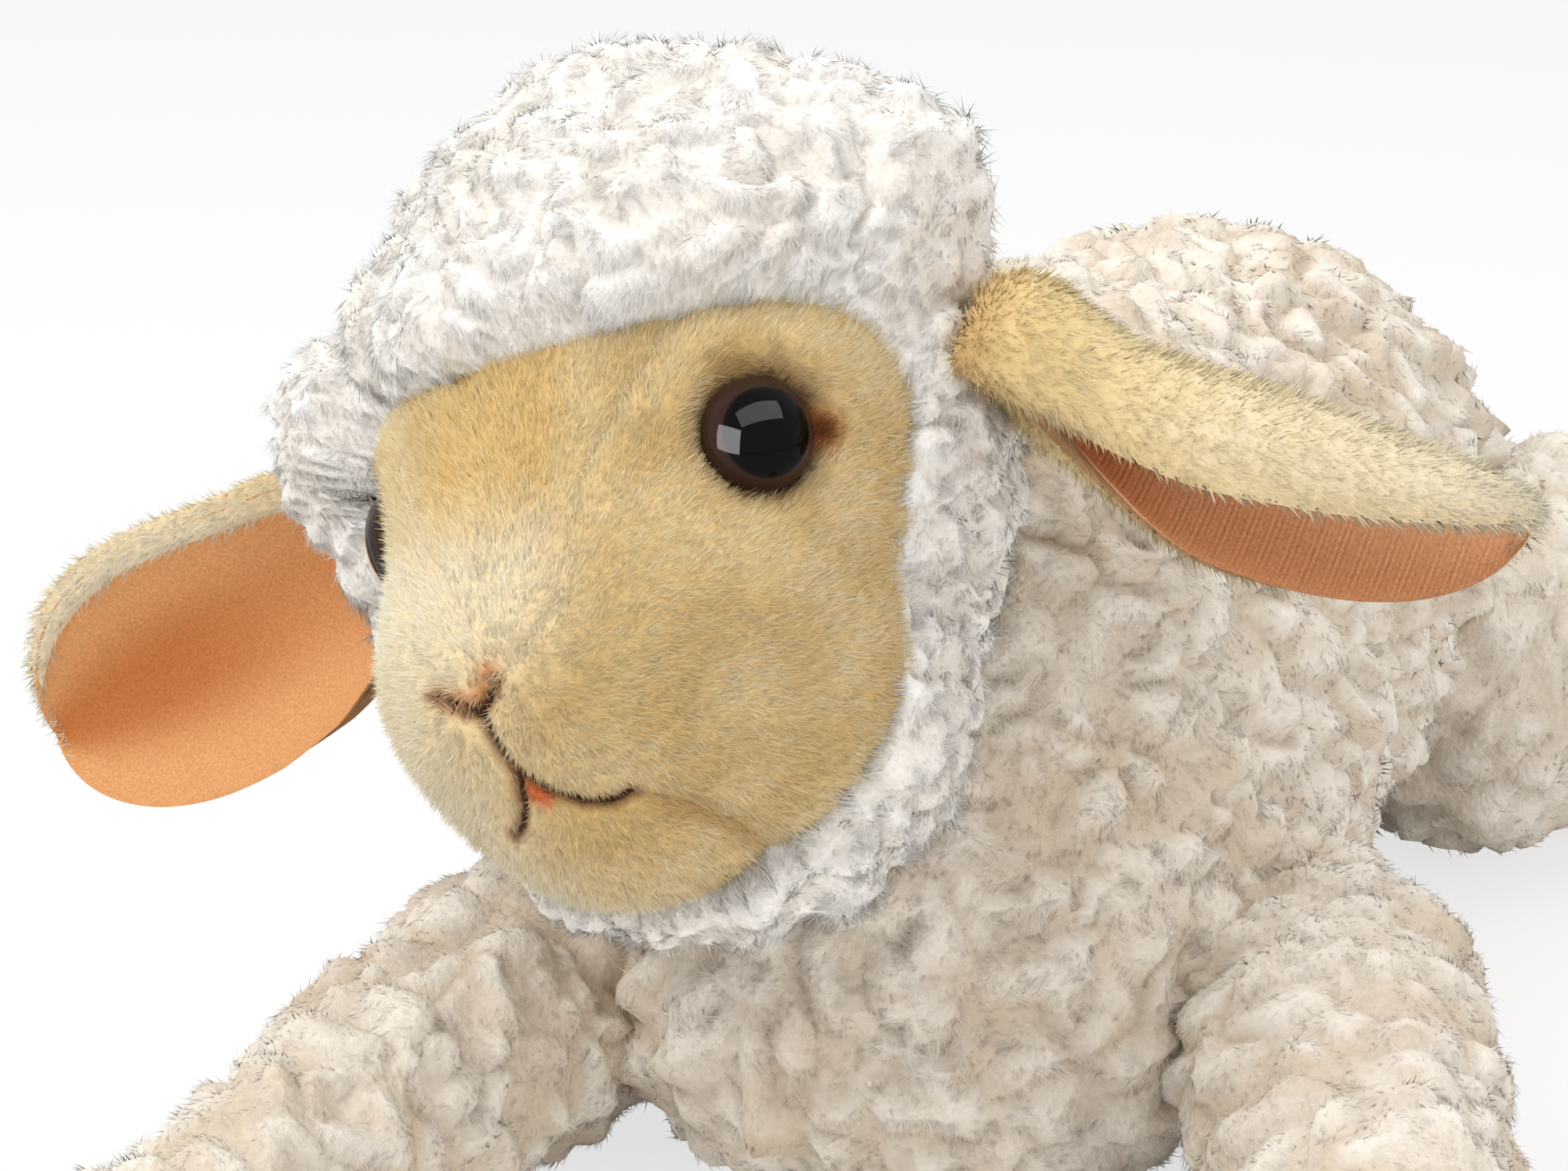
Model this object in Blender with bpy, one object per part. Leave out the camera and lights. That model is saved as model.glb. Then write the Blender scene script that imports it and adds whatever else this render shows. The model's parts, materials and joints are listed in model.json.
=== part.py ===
"""A lying plush lamb, about 0.37 m long: wool skins, velour face and feet, stuffing and eyes.

The lamb faces -Y with its left side at +X. The origin is on the floor, in the middle of the
belly's flat. The head is one assembly on a neck that turns and nods; ears, legs and tail hang
from sewn roots that are modelled as balls, so that they can move without tearing in.
"""

import math

import bmesh
import bpy
from mathutils import Matrix, Vector

# General sizes
GAP = 0.0003
FLAT_DEPTH = 0.0005
OVERRUN = 0.05
BISECTIONS = 30
ARC_SEGMENTS = 24
CORE_DETAIL = 2
SKIN_DETAIL = 3
FACE_DETAIL = 4

# Body
BODY_HALF_WIDTH = 0.054
BODY_HALF_LENGTH = 0.100
BODY_HEIGHT = 0.112
BODY_BLEND = 0.018
WOOL_THICKNESS = 0.007

# Head
HEAD_HALF_WIDTH = 0.049
HEAD_HALF_LENGTH = 0.050
HEAD_HALF_HEIGHT = 0.050
HEAD_BLEND = 0.010
HEAD_CENTRE = Vector((-0.018, -0.105, 0.101))
HEAD_TURN = math.radians(-11.5)
HEAD_TILT = math.radians(-23.0)
HEAD_NOD = math.radians(0.0)
VELOUR_THICKNESS = 0.003

# Neck
NECK_BALL_RADIUS = 0.034
NECK_PLUG_BALL_RADIUS = 0.016
NECK_PLUG_RADIUS = 0.010
NECK_PLUG_DEPTH = 0.016
NECK_HOLE_RADIUS = 0.019
NECK_LEAN = math.radians(35.0)
NECK_TURN_LIMIT = math.radians(18.0)
NECK_NOD_UP = math.radians(-10.0)
NECK_NOD_DOWN = math.radians(5.0)

# Eyes
EYE_RADIUS = 0.007
EYE_DOME_HEIGHT = 0.0048
EYE_RIM = 0.0008
EYE_STEM_RADIUS = 0.0018
EYE_STEM_LENGTH = 0.011
WASHER_RADIUS = 0.005
WASHER_THICKNESS = 0.0012
STITCH_RADIUS = 0.0005
STITCH_SIDES = 6

# Ears
EAR_LENGTH = 0.068
EAR_HALF_WIDTH = 0.0232
EAR_PLUSH = 0.0024
EAR_LINING = 0.0012
EAR_ROOT_RADIUS = 0.0068

# Legs and tail
FORELEG_LENGTH = 0.134
FORELEG_ROOT_RADIUS = 0.0205
HIND_LEG_LENGTH = 0.118
HIND_LEG_ROOT_RADIUS = 0.0330
LEG_WOOL = 0.006
FOOT_VELOUR = 0.003
TAIL_LENGTH = 0.046
TAIL_ROOT_RADIUS = 0.0085

BODY_SIZE = Vector((BODY_HALF_WIDTH, BODY_HALF_LENGTH, BODY_HEIGHT))
HEAD_SIZE = Vector((HEAD_HALF_WIDTH, HEAD_HALF_LENGTH, HEAD_HALF_HEIGHT))

# Rounded lobes as centre and radii, in shares of the body's or head's size
BODY_LOBE_SHARES = (
    ((0.06, -0.50, 0.335), (0.90, 0.59, 0.335)),
    ((0.00, -0.42, 0.64), (0.76, 0.48, 0.37)),
    ((0.00, 0.02, 0.46), (0.96, 0.62, 0.4645)),
    ((0.02, 0.52, 0.47), (0.98, 0.54, 0.455)),
)
FACE_LOBE_SHARES = (
    ((0.00, 0.04, -0.02), (0.76, 0.60, 0.80)),
    ((0.00, -0.12, 0.04), (0.68, 0.53, 0.42)),
    ((0.00, -0.37, -0.34), (0.58, 0.58, 0.50)),
    ((0.00, -0.38, -0.62), (0.44, 0.46, 0.36)),
)
HOOD_LOBE_SHARES = (
    ((0.00, 0.20, 0.10), (0.88, 0.72, 0.97)),
    ((0.00, -0.06, 0.40), (0.74, 0.52, 0.46)),
    ((0.00, -0.16, -0.66), (0.72, 0.60, 0.52)),
)
HEAD_START_SHARE = Vector((0.00, -0.10, -0.12))
NECK_PIVOT_SHARE = Vector((0.00, 0.16, -0.40))
FACE_OPENING_SHARE = Vector((0.00, -0.08, -0.25))
FACE_WIDTH_SHARE = 0.745
FACE_HEIGHT_SHARE = 0.91
FACE_OPENING_LEAN = math.radians(-33.0)
FACE_OPENING_TOP_POWER = 3.2
FACE_OPENING_LOW_POWER = 2.2
GUSSET_OUTLINE_SHARES = ((0.26, 0.70), (0.21, -0.17), (0.05, -0.32))
JAW_SEAM_SHARE = Vector((0.0, -0.90, -0.55))
JAW_SEAM_LEAN = math.radians(-32.0)

# Where the eyes, ears and limbs sit, in shares of the form that carries them
EYE_SHARE = Vector((0.6122, -0.37, 0.06))
EYE_AIM = Vector((0.84, -0.53, 0.06))
EAR_ROOT_SHARE = Vector((0.90, 0.26, 0.06))
SHOULDER_SHARE = Vector((0.90, -0.66, 0.0))
CHEST_MIDDLE_SHARE = 0.06
SHOULDER_TWIST = math.radians(13.0)
HIP_SHARE = Vector((0.80, 0.66, 0.0))
TAIL_SHARE = Vector((0.0, 1.0, 0.60))

# Ways that the ears, legs and tail point: ears as along and towards the open side
LEFT_EAR_AIMS = (Vector((0.95, 0.12, -0.29)), Vector((-0.06, -0.84, -0.54)))
RIGHT_EAR_AIMS = (Vector((-0.84, -0.07, -0.54)), Vector((0.0, -0.99, 0.12)))
FORELEG_LEFT_HEADING = math.radians(155.0)
FORELEG_RIGHT_HEADING = math.radians(187.0)
HIND_LEG_HEADING = math.radians(38.0)
TAIL_AIM = Vector((0.0, 0.52, -0.85))

# Stitched lines on the face as shares of the head's size across and up
NOSE_LINE_SHARES = ((-0.120, -0.255), (-0.085, -0.285), (-0.040, -0.315), (0.0, -0.33),
                    (0.040, -0.315), (0.085, -0.285), (0.120, -0.255))
LIP_LINE_SHARES = ((0.0, -0.365), (0.0, -0.41), (0.0, -0.45), (0.0, -0.49))
MOUTH_LINE_SHARES = ((-0.33, -0.645), (-0.25, -0.655), (-0.16, -0.635), (-0.07, -0.585), (0.0, -0.53),
                     (0.07, -0.585), (0.16, -0.635), (0.25, -0.655), (0.33, -0.645))

# Half angle of the ear's rolled section along its length, in radians, and its width share
EAR_STATION_SHARES = (0.08, 0.20, 0.34, 0.50, 0.66, 0.80, 0.91, 0.98)
EAR_WIDTH_SHARES = (0.46, 0.68, 0.88, 1.00, 0.97, 0.80, 0.54, 0.24)
LEFT_EAR_ROLL = (2.6, 2.5, 2.4, 2.3, 2.2, 2.1, 1.9, 1.7)
RIGHT_EAR_ROLL = (2.4, 1.8, 1.25, 1.0, 0.9, 0.85, 0.85, 0.85)
EAR_POINTS = 9

# Leg radius along its length, in shares of the root's radius and the leg's length
FORELEG_RADIUS_SHARES = ((0.0, 1.0), (0.10, 1.01), (0.24, 0.98), (0.40, 0.90), (0.55, 0.84), (0.70, 0.80),
                         (0.80, 0.78), (0.88, 0.76), (0.94, 0.66), (0.98, 0.44), (1.0, 0.12))
HIND_LEG_RADIUS_SHARES = ((0.0, 1.0), (0.12, 1.0), (0.26, 0.94), (0.40, 0.82), (0.54, 0.70), (0.68, 0.62),
                          (0.80, 0.58), (0.88, 0.56), (0.94, 0.48), (0.98, 0.32), (1.0, 0.09))
LEG_REAR_SHARES = (-0.75, -0.62, -0.46, -0.24)
ROUND_CUTTER_SHARE = 1.0 / math.cos(math.pi / ARC_SEGMENTS) - 1.0
FOOT_START_SHARE = 0.82
TOE_SHARE = 0.88
LEG_SEGMENTS = 12

# Tail radius along its length, and how flat it is
TAIL_REAR_SHARES = (-0.87, -0.49)
TAIL_RADIUS_SHARES = ((0.0, 1.0), (0.25, 1.08), (0.5, 1.15), (0.75, 1.0), (0.92, 0.62), (1.0, 0.2))
TAIL_FLAT_SHARE = 0.8

COLOURS = {
    "wool": ((0.86, 0.82, 0.74), 0.95),
    "hood": ((0.92, 0.90, 0.87), 0.95),
    "velour": ((0.90, 0.80, 0.58), 0.90),
    "lining": ((0.87, 0.60, 0.42), 0.90),
    "stuffing": ((0.94, 0.94, 0.93), 0.95),
    "eye": ((0.05, 0.03, 0.02), 0.08),
    "washer": ((0.85, 0.85, 0.83), 0.45),
    "thread": ((0.22, 0.12, 0.07), 0.70),
}


def clear_scene():
    """Removes what the scene holds."""
    for thing in list(bpy.data.objects):
        bpy.data.objects.remove(thing)


def material(name):
    """Gives a Principled material with the colour and roughness that the table names."""
    made = bpy.data.materials.new(name)
    colour, roughness = COLOURS[name.rsplit("-", 1)[-1]]
    made.use_nodes = True
    shader = made.node_tree.nodes["Principled BSDF"]
    shader.inputs["Base Color"].default_value = (*colour, 1.0)
    shader.inputs["Roughness"].default_value = roughness
    shader.inputs["Metallic"].default_value = 0.0
    return made


def add_object(name, mesh, finish=None, parent=None):
    """Links a mesh as an object, on its parent's frame if it has one."""
    made = bpy.data.objects.new(name, mesh)
    bpy.context.scene.collection.objects.link(made)
    made.parent = parent
    if finish:
        mesh.materials.append(material(f"{name}-{finish}"))
    else:
        made.hide_render = True
        made.display_type = "WIRE"
    return made


def mesh_from(build, name):
    """Runs a bmesh building function and returns its mesh with outward normals."""
    shape = bmesh.new()
    build(shape)
    bmesh.ops.recalc_face_normals(shape, faces=shape.faces)
    mesh = bpy.data.meshes.new(name)
    shape.to_mesh(mesh)
    shape.free()
    mesh.shade_smooth()
    return mesh


def scaled(share, size):
    """Multiplies a share by a size, axis by axis."""
    return Vector((share[0] * size[0], share[1] * size[1], share[2] * size[2]))


def body_lobes():
    """Gives the body's lobes at real size."""
    return [(scaled(place, BODY_SIZE), scaled(radii, BODY_SIZE)) for place, radii in BODY_LOBE_SHARES]


def head_lobes(shares):
    """Gives a set of the head's lobes, measured from the neck's pivot."""
    middle = -scaled(NECK_PIVOT_SHARE, HEAD_SIZE)
    return [(middle + scaled(place, HEAD_SIZE), scaled(radii, HEAD_SIZE)) for place, radii in shares]


def hood_lobes():
    """Gives the hood's lobes, with the ball that seats in the neck."""
    ball = Vector((NECK_BALL_RADIUS,) * 3)
    return head_lobes(HOOD_LOBE_SHARES) + [(Vector((0.0, 0.0, 0.0)), ball)]


def lobe_distance(point, lobe):
    """Gives a point's distance to an ellipsoid, near enough close to its surface."""
    centre, radii = lobe
    away = point - centre
    near = Vector((away.x / radii.x, away.y / radii.y, away.z / radii.z)).length
    steep = Vector((away.x / radii.x ** 2, away.y / radii.y ** 2, away.z / radii.z ** 2)).length
    return near * (near - 1.0) / steep if steep else -min(radii)


def form_distance(point, lobes, blend):
    """Joins the lobes' distances, with a fillet of about the blend where they meet."""
    total = lobe_distance(point, lobes[0])
    for lobe in lobes[1:]:
        other = lobe_distance(point, lobe)
        mix = max(blend - abs(total - other), 0.0) / blend
        total = min(total, other) - mix * mix * blend / 4.0
    return total


def surface_point(start, aim, lobes, blend, grow=0.0):
    """Finds where a ray that starts inside the lobes leaves them."""
    inside, outside = 0.0, 2.0 * max(BODY_SIZE)
    for _ in range(BISECTIONS):
        middle = (inside + outside) / 2.0
        if form_distance(start + aim * middle, lobes, blend) < grow:
            inside = middle
        else:
            outside = middle
    return start + aim * inside


def soft_mesh(name, lobes, blend, start, grow=0.0, detail=SKIN_DETAIL):
    """Models a stuffed form: a ball whose points are pushed out to the joined lobes."""
    def build(shape):
        bmesh.ops.create_icosphere(shape, subdivisions=detail, radius=1.0)
        for vertex in shape.verts:
            vertex.co = surface_point(start, vertex.co.normalized(), lobes, blend, grow)
    return mesh_from(build, name)


def loft(shape, rings, closed=True):
    """Joins rings of as many points each, and fills both ends where it is closed."""
    loops = [[shape.verts.new(point) for point in ring] for ring in rings]
    count = len(loops[0])
    for first, second in zip(loops, loops[1:]):
        for index in range(count):
            after = (index + 1) % count
            shape.faces.new((first[index], first[after], second[after], second[index]))
    if closed:
        shape.faces.new(loops[0])
        shape.faces.new(loops[-1])
    else:
        for index in range(count):
            after = (index + 1) % count
            shape.faces.new((loops[-1][index], loops[-1][after], loops[0][after], loops[0][index]))
    bmesh.ops.triangulate(shape, faces=shape.faces)


def circle(centre, radius, across, up, segments):
    """Gives the points of a circle in the plane of two directions."""
    turns = [2.0 * math.pi * index / segments for index in range(segments)]
    return [centre + across * (radius * math.cos(turn)) + up * (radius * math.sin(turn)) for turn in turns]


def turned(name, outline, segments=ARC_SEGMENTS, ring=False):
    """Turns an outline of radius and height about the Z axis."""
    east, north, up = Vector((1, 0, 0)), Vector((0, 1, 0)), Vector((0, 0, 1))
    rings = [circle(up * height, radius, east, north, segments) for radius, height in outline]
    return mesh_from(lambda shape: loft(shape, rings, closed=not ring), name)


def ball(name, radius, parent=None, place=None, detail=SKIN_DETAIL):
    """Adds a cutter ball."""
    def build(shape):
        bmesh.ops.create_icosphere(shape, subdivisions=detail, radius=radius)
    made = add_object(name, mesh_from(build, name), parent=parent)
    if place:
        made.location = place
    return made


def rod(name, radius, low, high, parent=None):
    """Adds a cutter rod along the Z axis."""
    return add_object(name, turned(name, ((radius, high), (radius, low))), parent=parent)


def block(name, low, high, parent=None):
    """Adds a cutter block between two corners."""
    def build(shape):
        made = bmesh.ops.create_cube(shape, size=1.0)
        for vertex in made["verts"]:
            share = vertex.co + Vector((0.5, 0.5, 0.5))
            vertex.co = low + scaled(share, high - low)
    return add_object(name, mesh_from(build, name), parent=parent)


def cut(thing, *cutters, operation="DIFFERENCE"):
    """Adds a Boolean for each cutter."""
    for cutter in cutters:
        change = thing.modifiers.new(cutter.name, "BOOLEAN")
        change.operation = operation
        change.solver = "EXACT"
        change.object = cutter


def empty(name, place, parent=None, turn=None):
    """Adds a pivot."""
    made = bpy.data.objects.new(name, None)
    bpy.context.scene.collection.objects.link(made)
    made.parent = parent
    made.matrix_local = Matrix.Translation(place) @ (turn or Matrix()).to_4x4()
    return made


def facing(outward, up_hint):
    """Gives the rotation whose Z axis points outward."""
    side = up_hint.cross(outward).normalized()
    return Matrix((side, outward.cross(side), outward)).transposed()


def floor_cutter():
    """Adds the block that cuts the forms flat where they stand."""
    reach = 4.0 * BODY_HALF_LENGTH
    return block("floor", Vector((-reach, -reach, -OVERRUN)), Vector((reach, reach, 0.0)))


def leg_radius(share, root, radius_shares):
    """Reads the leg's radius from its table, along its length."""
    for (start, low), (end, high) in zip(radius_shares, radius_shares[1:]):
        if share <= end:
            part = (share - start) / (end - start)
            return root * (low + (high - low) * part)
    return root * radius_shares[-1][1]


def leg_stations(root, start=None, end=None):
    """Gives distances and radii from the ball's open end to the foot."""
    length, radius, radius_shares = root
    stations = [(share * radius, radius * math.sqrt(1.0 - share ** 2)) for share in LEG_REAR_SHARES]
    stations += [(share * length, radius * part) for share, part in radius_shares]
    if start is not None:
        first = (start, leg_radius(start / length, radius, radius_shares))
        stations = [first] + [s for s in stations if s[0] > start]
    if end is not None:
        last = (end, leg_radius(end / length, radius, radius_shares))
        stations = [s for s in stations if s[0] < end] + [last]
    return stations


class Leg:
    """A stuffed leg: wool skin, velour foot and filling on one shoulder or hip pivot."""

    def __init__(self, name, pivot, heading, root):
        self.name, self.root = name, root
        self.length, self.radius, _ = root
        self.height = self.radius - FLAT_DEPTH
        self.pivot = empty(f"{name}_pivot", Vector((pivot.x, pivot.y, self.height)))
        self.direction = Vector((math.sin(heading), math.cos(heading), 0.0))

    def rings(self, stations, wall, segments=LEG_SEGMENTS):
        """Places the rings of a leg that lies on the floor, drawn in by a wall."""
        side = Vector((self.direction.y, -self.direction.x, 0.0))
        up = Vector((0.0, 0.0, 1.0))
        toe = leg_radius(TOE_SHARE, self.radius, self.root[-1])
        rings = []
        for distance, radius in stations:
            height = max(radius, toe) - FLAT_DEPTH - self.height if distance > 0.0 else 0.0
            centre = self.direction * distance + up * height
            rings.append(circle(centre, radius - wall, side, up, segments))
        return rings

    def tube(self, name, stations, wall, finish=None, segments=LEG_SEGMENTS):
        """Adds a solid form along the leg."""
        rings = self.rings(stations, wall, segments)
        mesh = mesh_from(lambda shape: loft(shape, rings), name)
        return add_object(name, mesh, finish, self.pivot)

    def skin(self, name, stations, wall, finish):
        """Adds a shell that is open at both ends."""
        rings = self.rings(stations, 0.0) + self.rings(stations, wall)[::-1]
        mesh = mesh_from(lambda shape: loft(shape, rings, closed=False), name)
        return add_object(name, mesh, finish, self.pivot)

    def cup(self, name, stations, wall, finish):
        """Adds a shell that is closed over the toe."""
        kept = [s for s in stations if s[0] < self.length - wall and s[1] > 2.0 * wall]
        rings = self.rings(stations, 0.0)[::-1] + self.rings(kept, wall)
        mesh = mesh_from(lambda shape: loft(shape, rings), name)
        return add_object(name, mesh, finish, self.pivot)

    def build(self, floor):
        """Adds the leg's three pieces and cuts them flat on the floor."""
        seam = FOOT_START_SHARE * self.length
        skin = self.skin(f"{self.name}_wool", leg_stations(self.root, end=seam), LEG_WOOL, "wool")
        foot_stations = leg_stations(self.root, start=seam + GAP)
        foot = self.cup(f"{self.name}_foot", foot_stations, FOOT_VELOUR, "velour")
        reach = self.length - FOOT_VELOUR
        stations = [s for s in leg_stations(self.root) if s[0] < reach and s[1] > LEG_WOOL + FOOT_VELOUR]
        self.tube(f"{self.name}_filling", stations, LEG_WOOL + GAP, "stuffing")
        cut(skin, floor)
        cut(foot, floor)

    def cutter(self):
        """Adds the leg's grown form, which makes room for it in the body."""
        grow = GAP + self.radius * ROUND_CUTTER_SHARE
        reach = self.radius + grow
        turns = [math.pi * index / ARC_SEGMENTS for index in range(1, ARC_SEGMENTS // 2)]
        stations = [(-reach * math.cos(turn), reach * math.sin(turn) - grow) for turn in turns]
        stations += [s for s in leg_stations(self.root) if s[0] >= 0.0]
        return self.tube(f"{self.name}_room", stations, -grow, segments=ARC_SEGMENTS)


def head_matrix():
    """Gives the head's turn and tilt as photographed."""
    turn = Matrix.Rotation(HEAD_TURN, 3, "Z")
    tilt = Matrix.Rotation(HEAD_TILT, 3, "Y")
    nod = Matrix.Rotation(HEAD_NOD, 3, "X")
    return turn @ tilt @ nod


def face_opening(name, gap, parent):
    """Adds the prism of the hood's opening, whose back leans, and which the face fills."""
    lean = Matrix.Rotation(FACE_OPENING_LEAN, 3, "X")
    across, up, out = Vector((1, 0, 0)), lean @ Vector((0, 0, 1)), Vector((0, -1, 0))
    middle = scaled(FACE_OPENING_SHARE - NECK_PIVOT_SHARE, HEAD_SIZE)
    width, height = FACE_WIDTH_SHARE * HEAD_HALF_WIDTH - gap, FACE_HEIGHT_SHARE * HEAD_HALF_HEIGHT - gap
    outline = []
    for index in range(2 * ARC_SEGMENTS):
        turn = math.pi * index / ARC_SEGMENTS
        share_across, share_up = math.cos(turn), math.sin(turn)
        power = 2.0 / (FACE_OPENING_TOP_POWER if share_up > 0.0 else FACE_OPENING_LOW_POWER)
        x = math.copysign(abs(share_across) ** power, share_across)
        z = math.copysign(abs(share_up) ** power, share_up)
        outline.append(middle + across * (width * x) + up * (height * z))
    rings = [[point + out * reach for point in outline] for reach in (gap, 2.0 * HEAD_HALF_LENGTH)]
    return add_object(name, mesh_from(lambda shape: loft(shape, rings), name), parent=parent)


def face_point(across, up, grow):
    """Finds the face's surface point straight ahead of a place across and up."""
    lobes = head_lobes(FACE_LOBE_SHARES)
    start = scaled(Vector((across, 0.0, up)) - NECK_PIVOT_SHARE, HEAD_SIZE)
    return surface_point(start, Vector((0.0, -1.0, 0.0)), lobes, HEAD_BLEND, grow)


def stitch(name, shares, parent):
    """Adds a stitched line that lies along the face."""
    points = [face_point(across, up, STITCH_RADIUS + GAP) for across, up in shares]
    ahead = Vector((0.0, -1.0, 0.0))
    rings = []
    for index, point in enumerate(points):
        before, after = points[max(index - 1, 0)], points[min(index + 1, len(points) - 1)]
        along = (after - before).normalized()
        side = along.cross(ahead).normalized()
        rings.append(circle(point, STITCH_RADIUS, side, along.cross(side), STITCH_SIDES))
    return add_object(name, mesh_from(lambda shape: loft(shape, rings), name), "thread", parent)


def eye_frame(side):
    """Gives an eye's place on the face and the way it looks."""
    aim = Vector((side * EYE_AIM.x, EYE_AIM.y, EYE_AIM.z)).normalized()
    share = Vector((side * EYE_SHARE.x, EYE_SHARE.y, EYE_SHARE.z)) - NECK_PIVOT_SHARE
    return scaled(share, HEAD_SIZE), aim


def eye_pieces(side_name, side, head):
    """Adds an eye and its lock washer, and gives the cutters that seat them."""
    place, aim = eye_frame(side)
    pivot = empty(f"eye_{side_name}_seat", place - aim * EYE_DOME_HEIGHT / 2.0, head,
                  facing(aim, Vector((0, 0, 1))))
    arc = [math.pi / 2.0 * index / 5 for index in range(1, 6)]
    dome = [(EYE_RADIUS * math.sin(turn), EYE_DOME_HEIGHT * math.cos(turn)) for turn in arc]
    dome = [(EYE_RADIUS * math.sin(arc[0]) / 4.0, EYE_DOME_HEIGHT)] + dome
    outline = dome + [(EYE_RADIUS, -EYE_RIM), (EYE_STEM_RADIUS, -EYE_RIM), (EYE_STEM_RADIUS, -EYE_STEM_LENGTH)]
    add_object(f"eye_{side_name}", turned(f"eye_{side_name}", outline), "eye", pivot)
    top = -VELOUR_THICKNESS - 2.0 * EYE_RIM
    bottom = top - WASHER_THICKNESS
    inner = EYE_STEM_RADIUS + GAP
    loop = ((inner, top), (WASHER_RADIUS, top), (WASHER_RADIUS, bottom), (inner, bottom))
    name = f"eye_washer_{side_name}"
    add_object(name, turned(name, loop, ARC_SEGMENTS // 2, ring=True), "washer", pivot)
    seat = rod(f"eye_{side_name}_room", EYE_RADIUS + GAP, -EYE_RIM - GAP, OVERRUN, pivot)
    hole = rod(f"eye_{side_name}_hole", inner, -EYE_STEM_LENGTH - GAP, OVERRUN, pivot)
    pocket = rod(f"eye_{side_name}_pocket", WASHER_RADIUS + GAP, bottom - GAP, OVERRUN, pivot)
    return seat, hole, pocket


def ear_section(spine, axes, share_width, roll, low, high):
    """Gives a rolled section as a closed loop between two depths of the fabric."""
    width_way, open_way = axes
    half = EAR_HALF_WIDTH * share_width
    radius = half / roll
    centre = spine + open_way * radius

    def arc(depth, sign):
        turns = [roll * sign * (2.0 * index / (EAR_POINTS - 1) - 1.0) for index in range(EAR_POINTS)]
        return [centre + (width_way * math.sin(turn) - open_way * math.cos(turn)) * (radius + depth)
                for turn in turns]

    return arc(high, 1.0) + arc(low, -1.0)


def ear_layer(name, along, opening, rolls, low, high, first):
    """Lofts one layer of an ear along its spine."""
    across = opening.cross(along).normalized()
    open_way = along.cross(across).normalized()
    stations = list(zip(EAR_STATION_SHARES, EAR_WIDTH_SHARES, rolls))[first:]
    rings = []
    for place, width, roll in stations:
        rings.append(ear_section(along * (place * EAR_LENGTH), (across, open_way), width, roll, low, high))

    def build(shape):
        loops = [[shape.verts.new(point) for point in ring] for ring in rings]
        count = len(loops[0])
        for one, two in zip(loops, loops[1:]):
            for index in range(count):
                after = (index + 1) % count
                shape.faces.new((one[index], one[after], two[after], two[index]))
        for loop in (loops[0], loops[-1]):
            for index in range(EAR_POINTS - 1):
                opposite = count - 1 - index
                shape.faces.new((loop[index], loop[index + 1], loop[opposite - 1], loop[opposite]))
        bmesh.ops.triangulate(shape, faces=shape.faces)

    return mesh_from(build, name)


def ear_pieces(side_name, side, aims, rolls, head):
    """Adds an ear's plush and lining on a pivot at its sewn root."""
    along, opening = aims[0].normalized(), aims[1].normalized()
    root = scaled(Vector((side * EAR_ROOT_SHARE.x, EAR_ROOT_SHARE.y, EAR_ROOT_SHARE.z)) - NECK_PIVOT_SHARE,
                  HEAD_SIZE)
    pivot = empty(f"ear_{side_name}_pivot", root, head, head_matrix().inverted())
    name = f"ear_{side_name}_plush"
    plush = add_object(name, ear_layer(name, along, opening, rolls, 0.0, EAR_PLUSH, 0), "velour", pivot)
    gather = ball(f"{name}_gather", EAR_ROOT_RADIUS, pivot, detail=2)
    cut(plush, gather, operation="UNION")
    name = f"ear_{side_name}_lining"
    mesh = ear_layer(name, along, opening, rolls, -GAP - EAR_LINING, -GAP, 0)
    lining = add_object(name, mesh, "lining", pivot)
    room = ball(f"{name}_room", EAR_ROOT_RADIUS + GAP, pivot, detail=2)
    cut(lining, room)
    hole = ball(f"ear_{side_name}_hole", EAR_ROOT_RADIUS + GAP, pivot)
    return hole, ear_room(f"ear_{side_name}_room", along, opening, rolls, pivot)


def ear_room(name, along, opening, rolls, pivot):
    """Adds a grown round form about the ear's root, which presses into the hood's wool."""
    across = opening.cross(along).normalized()
    open_way = along.cross(across).normalized()
    rings = []
    for place, width, roll in list(zip(EAR_STATION_SHARES, EAR_WIDTH_SHARES, rolls))[:4]:
        radius = EAR_HALF_WIDTH * width / roll
        centre = along * (place * EAR_LENGTH) + open_way * radius
        rings.append(circle(centre, radius + EAR_PLUSH + 2.0 * GAP, across, open_way, ARC_SEGMENTS))
    return add_object(name, mesh_from(lambda shape: loft(shape, rings), name), parent=pivot)


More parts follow.
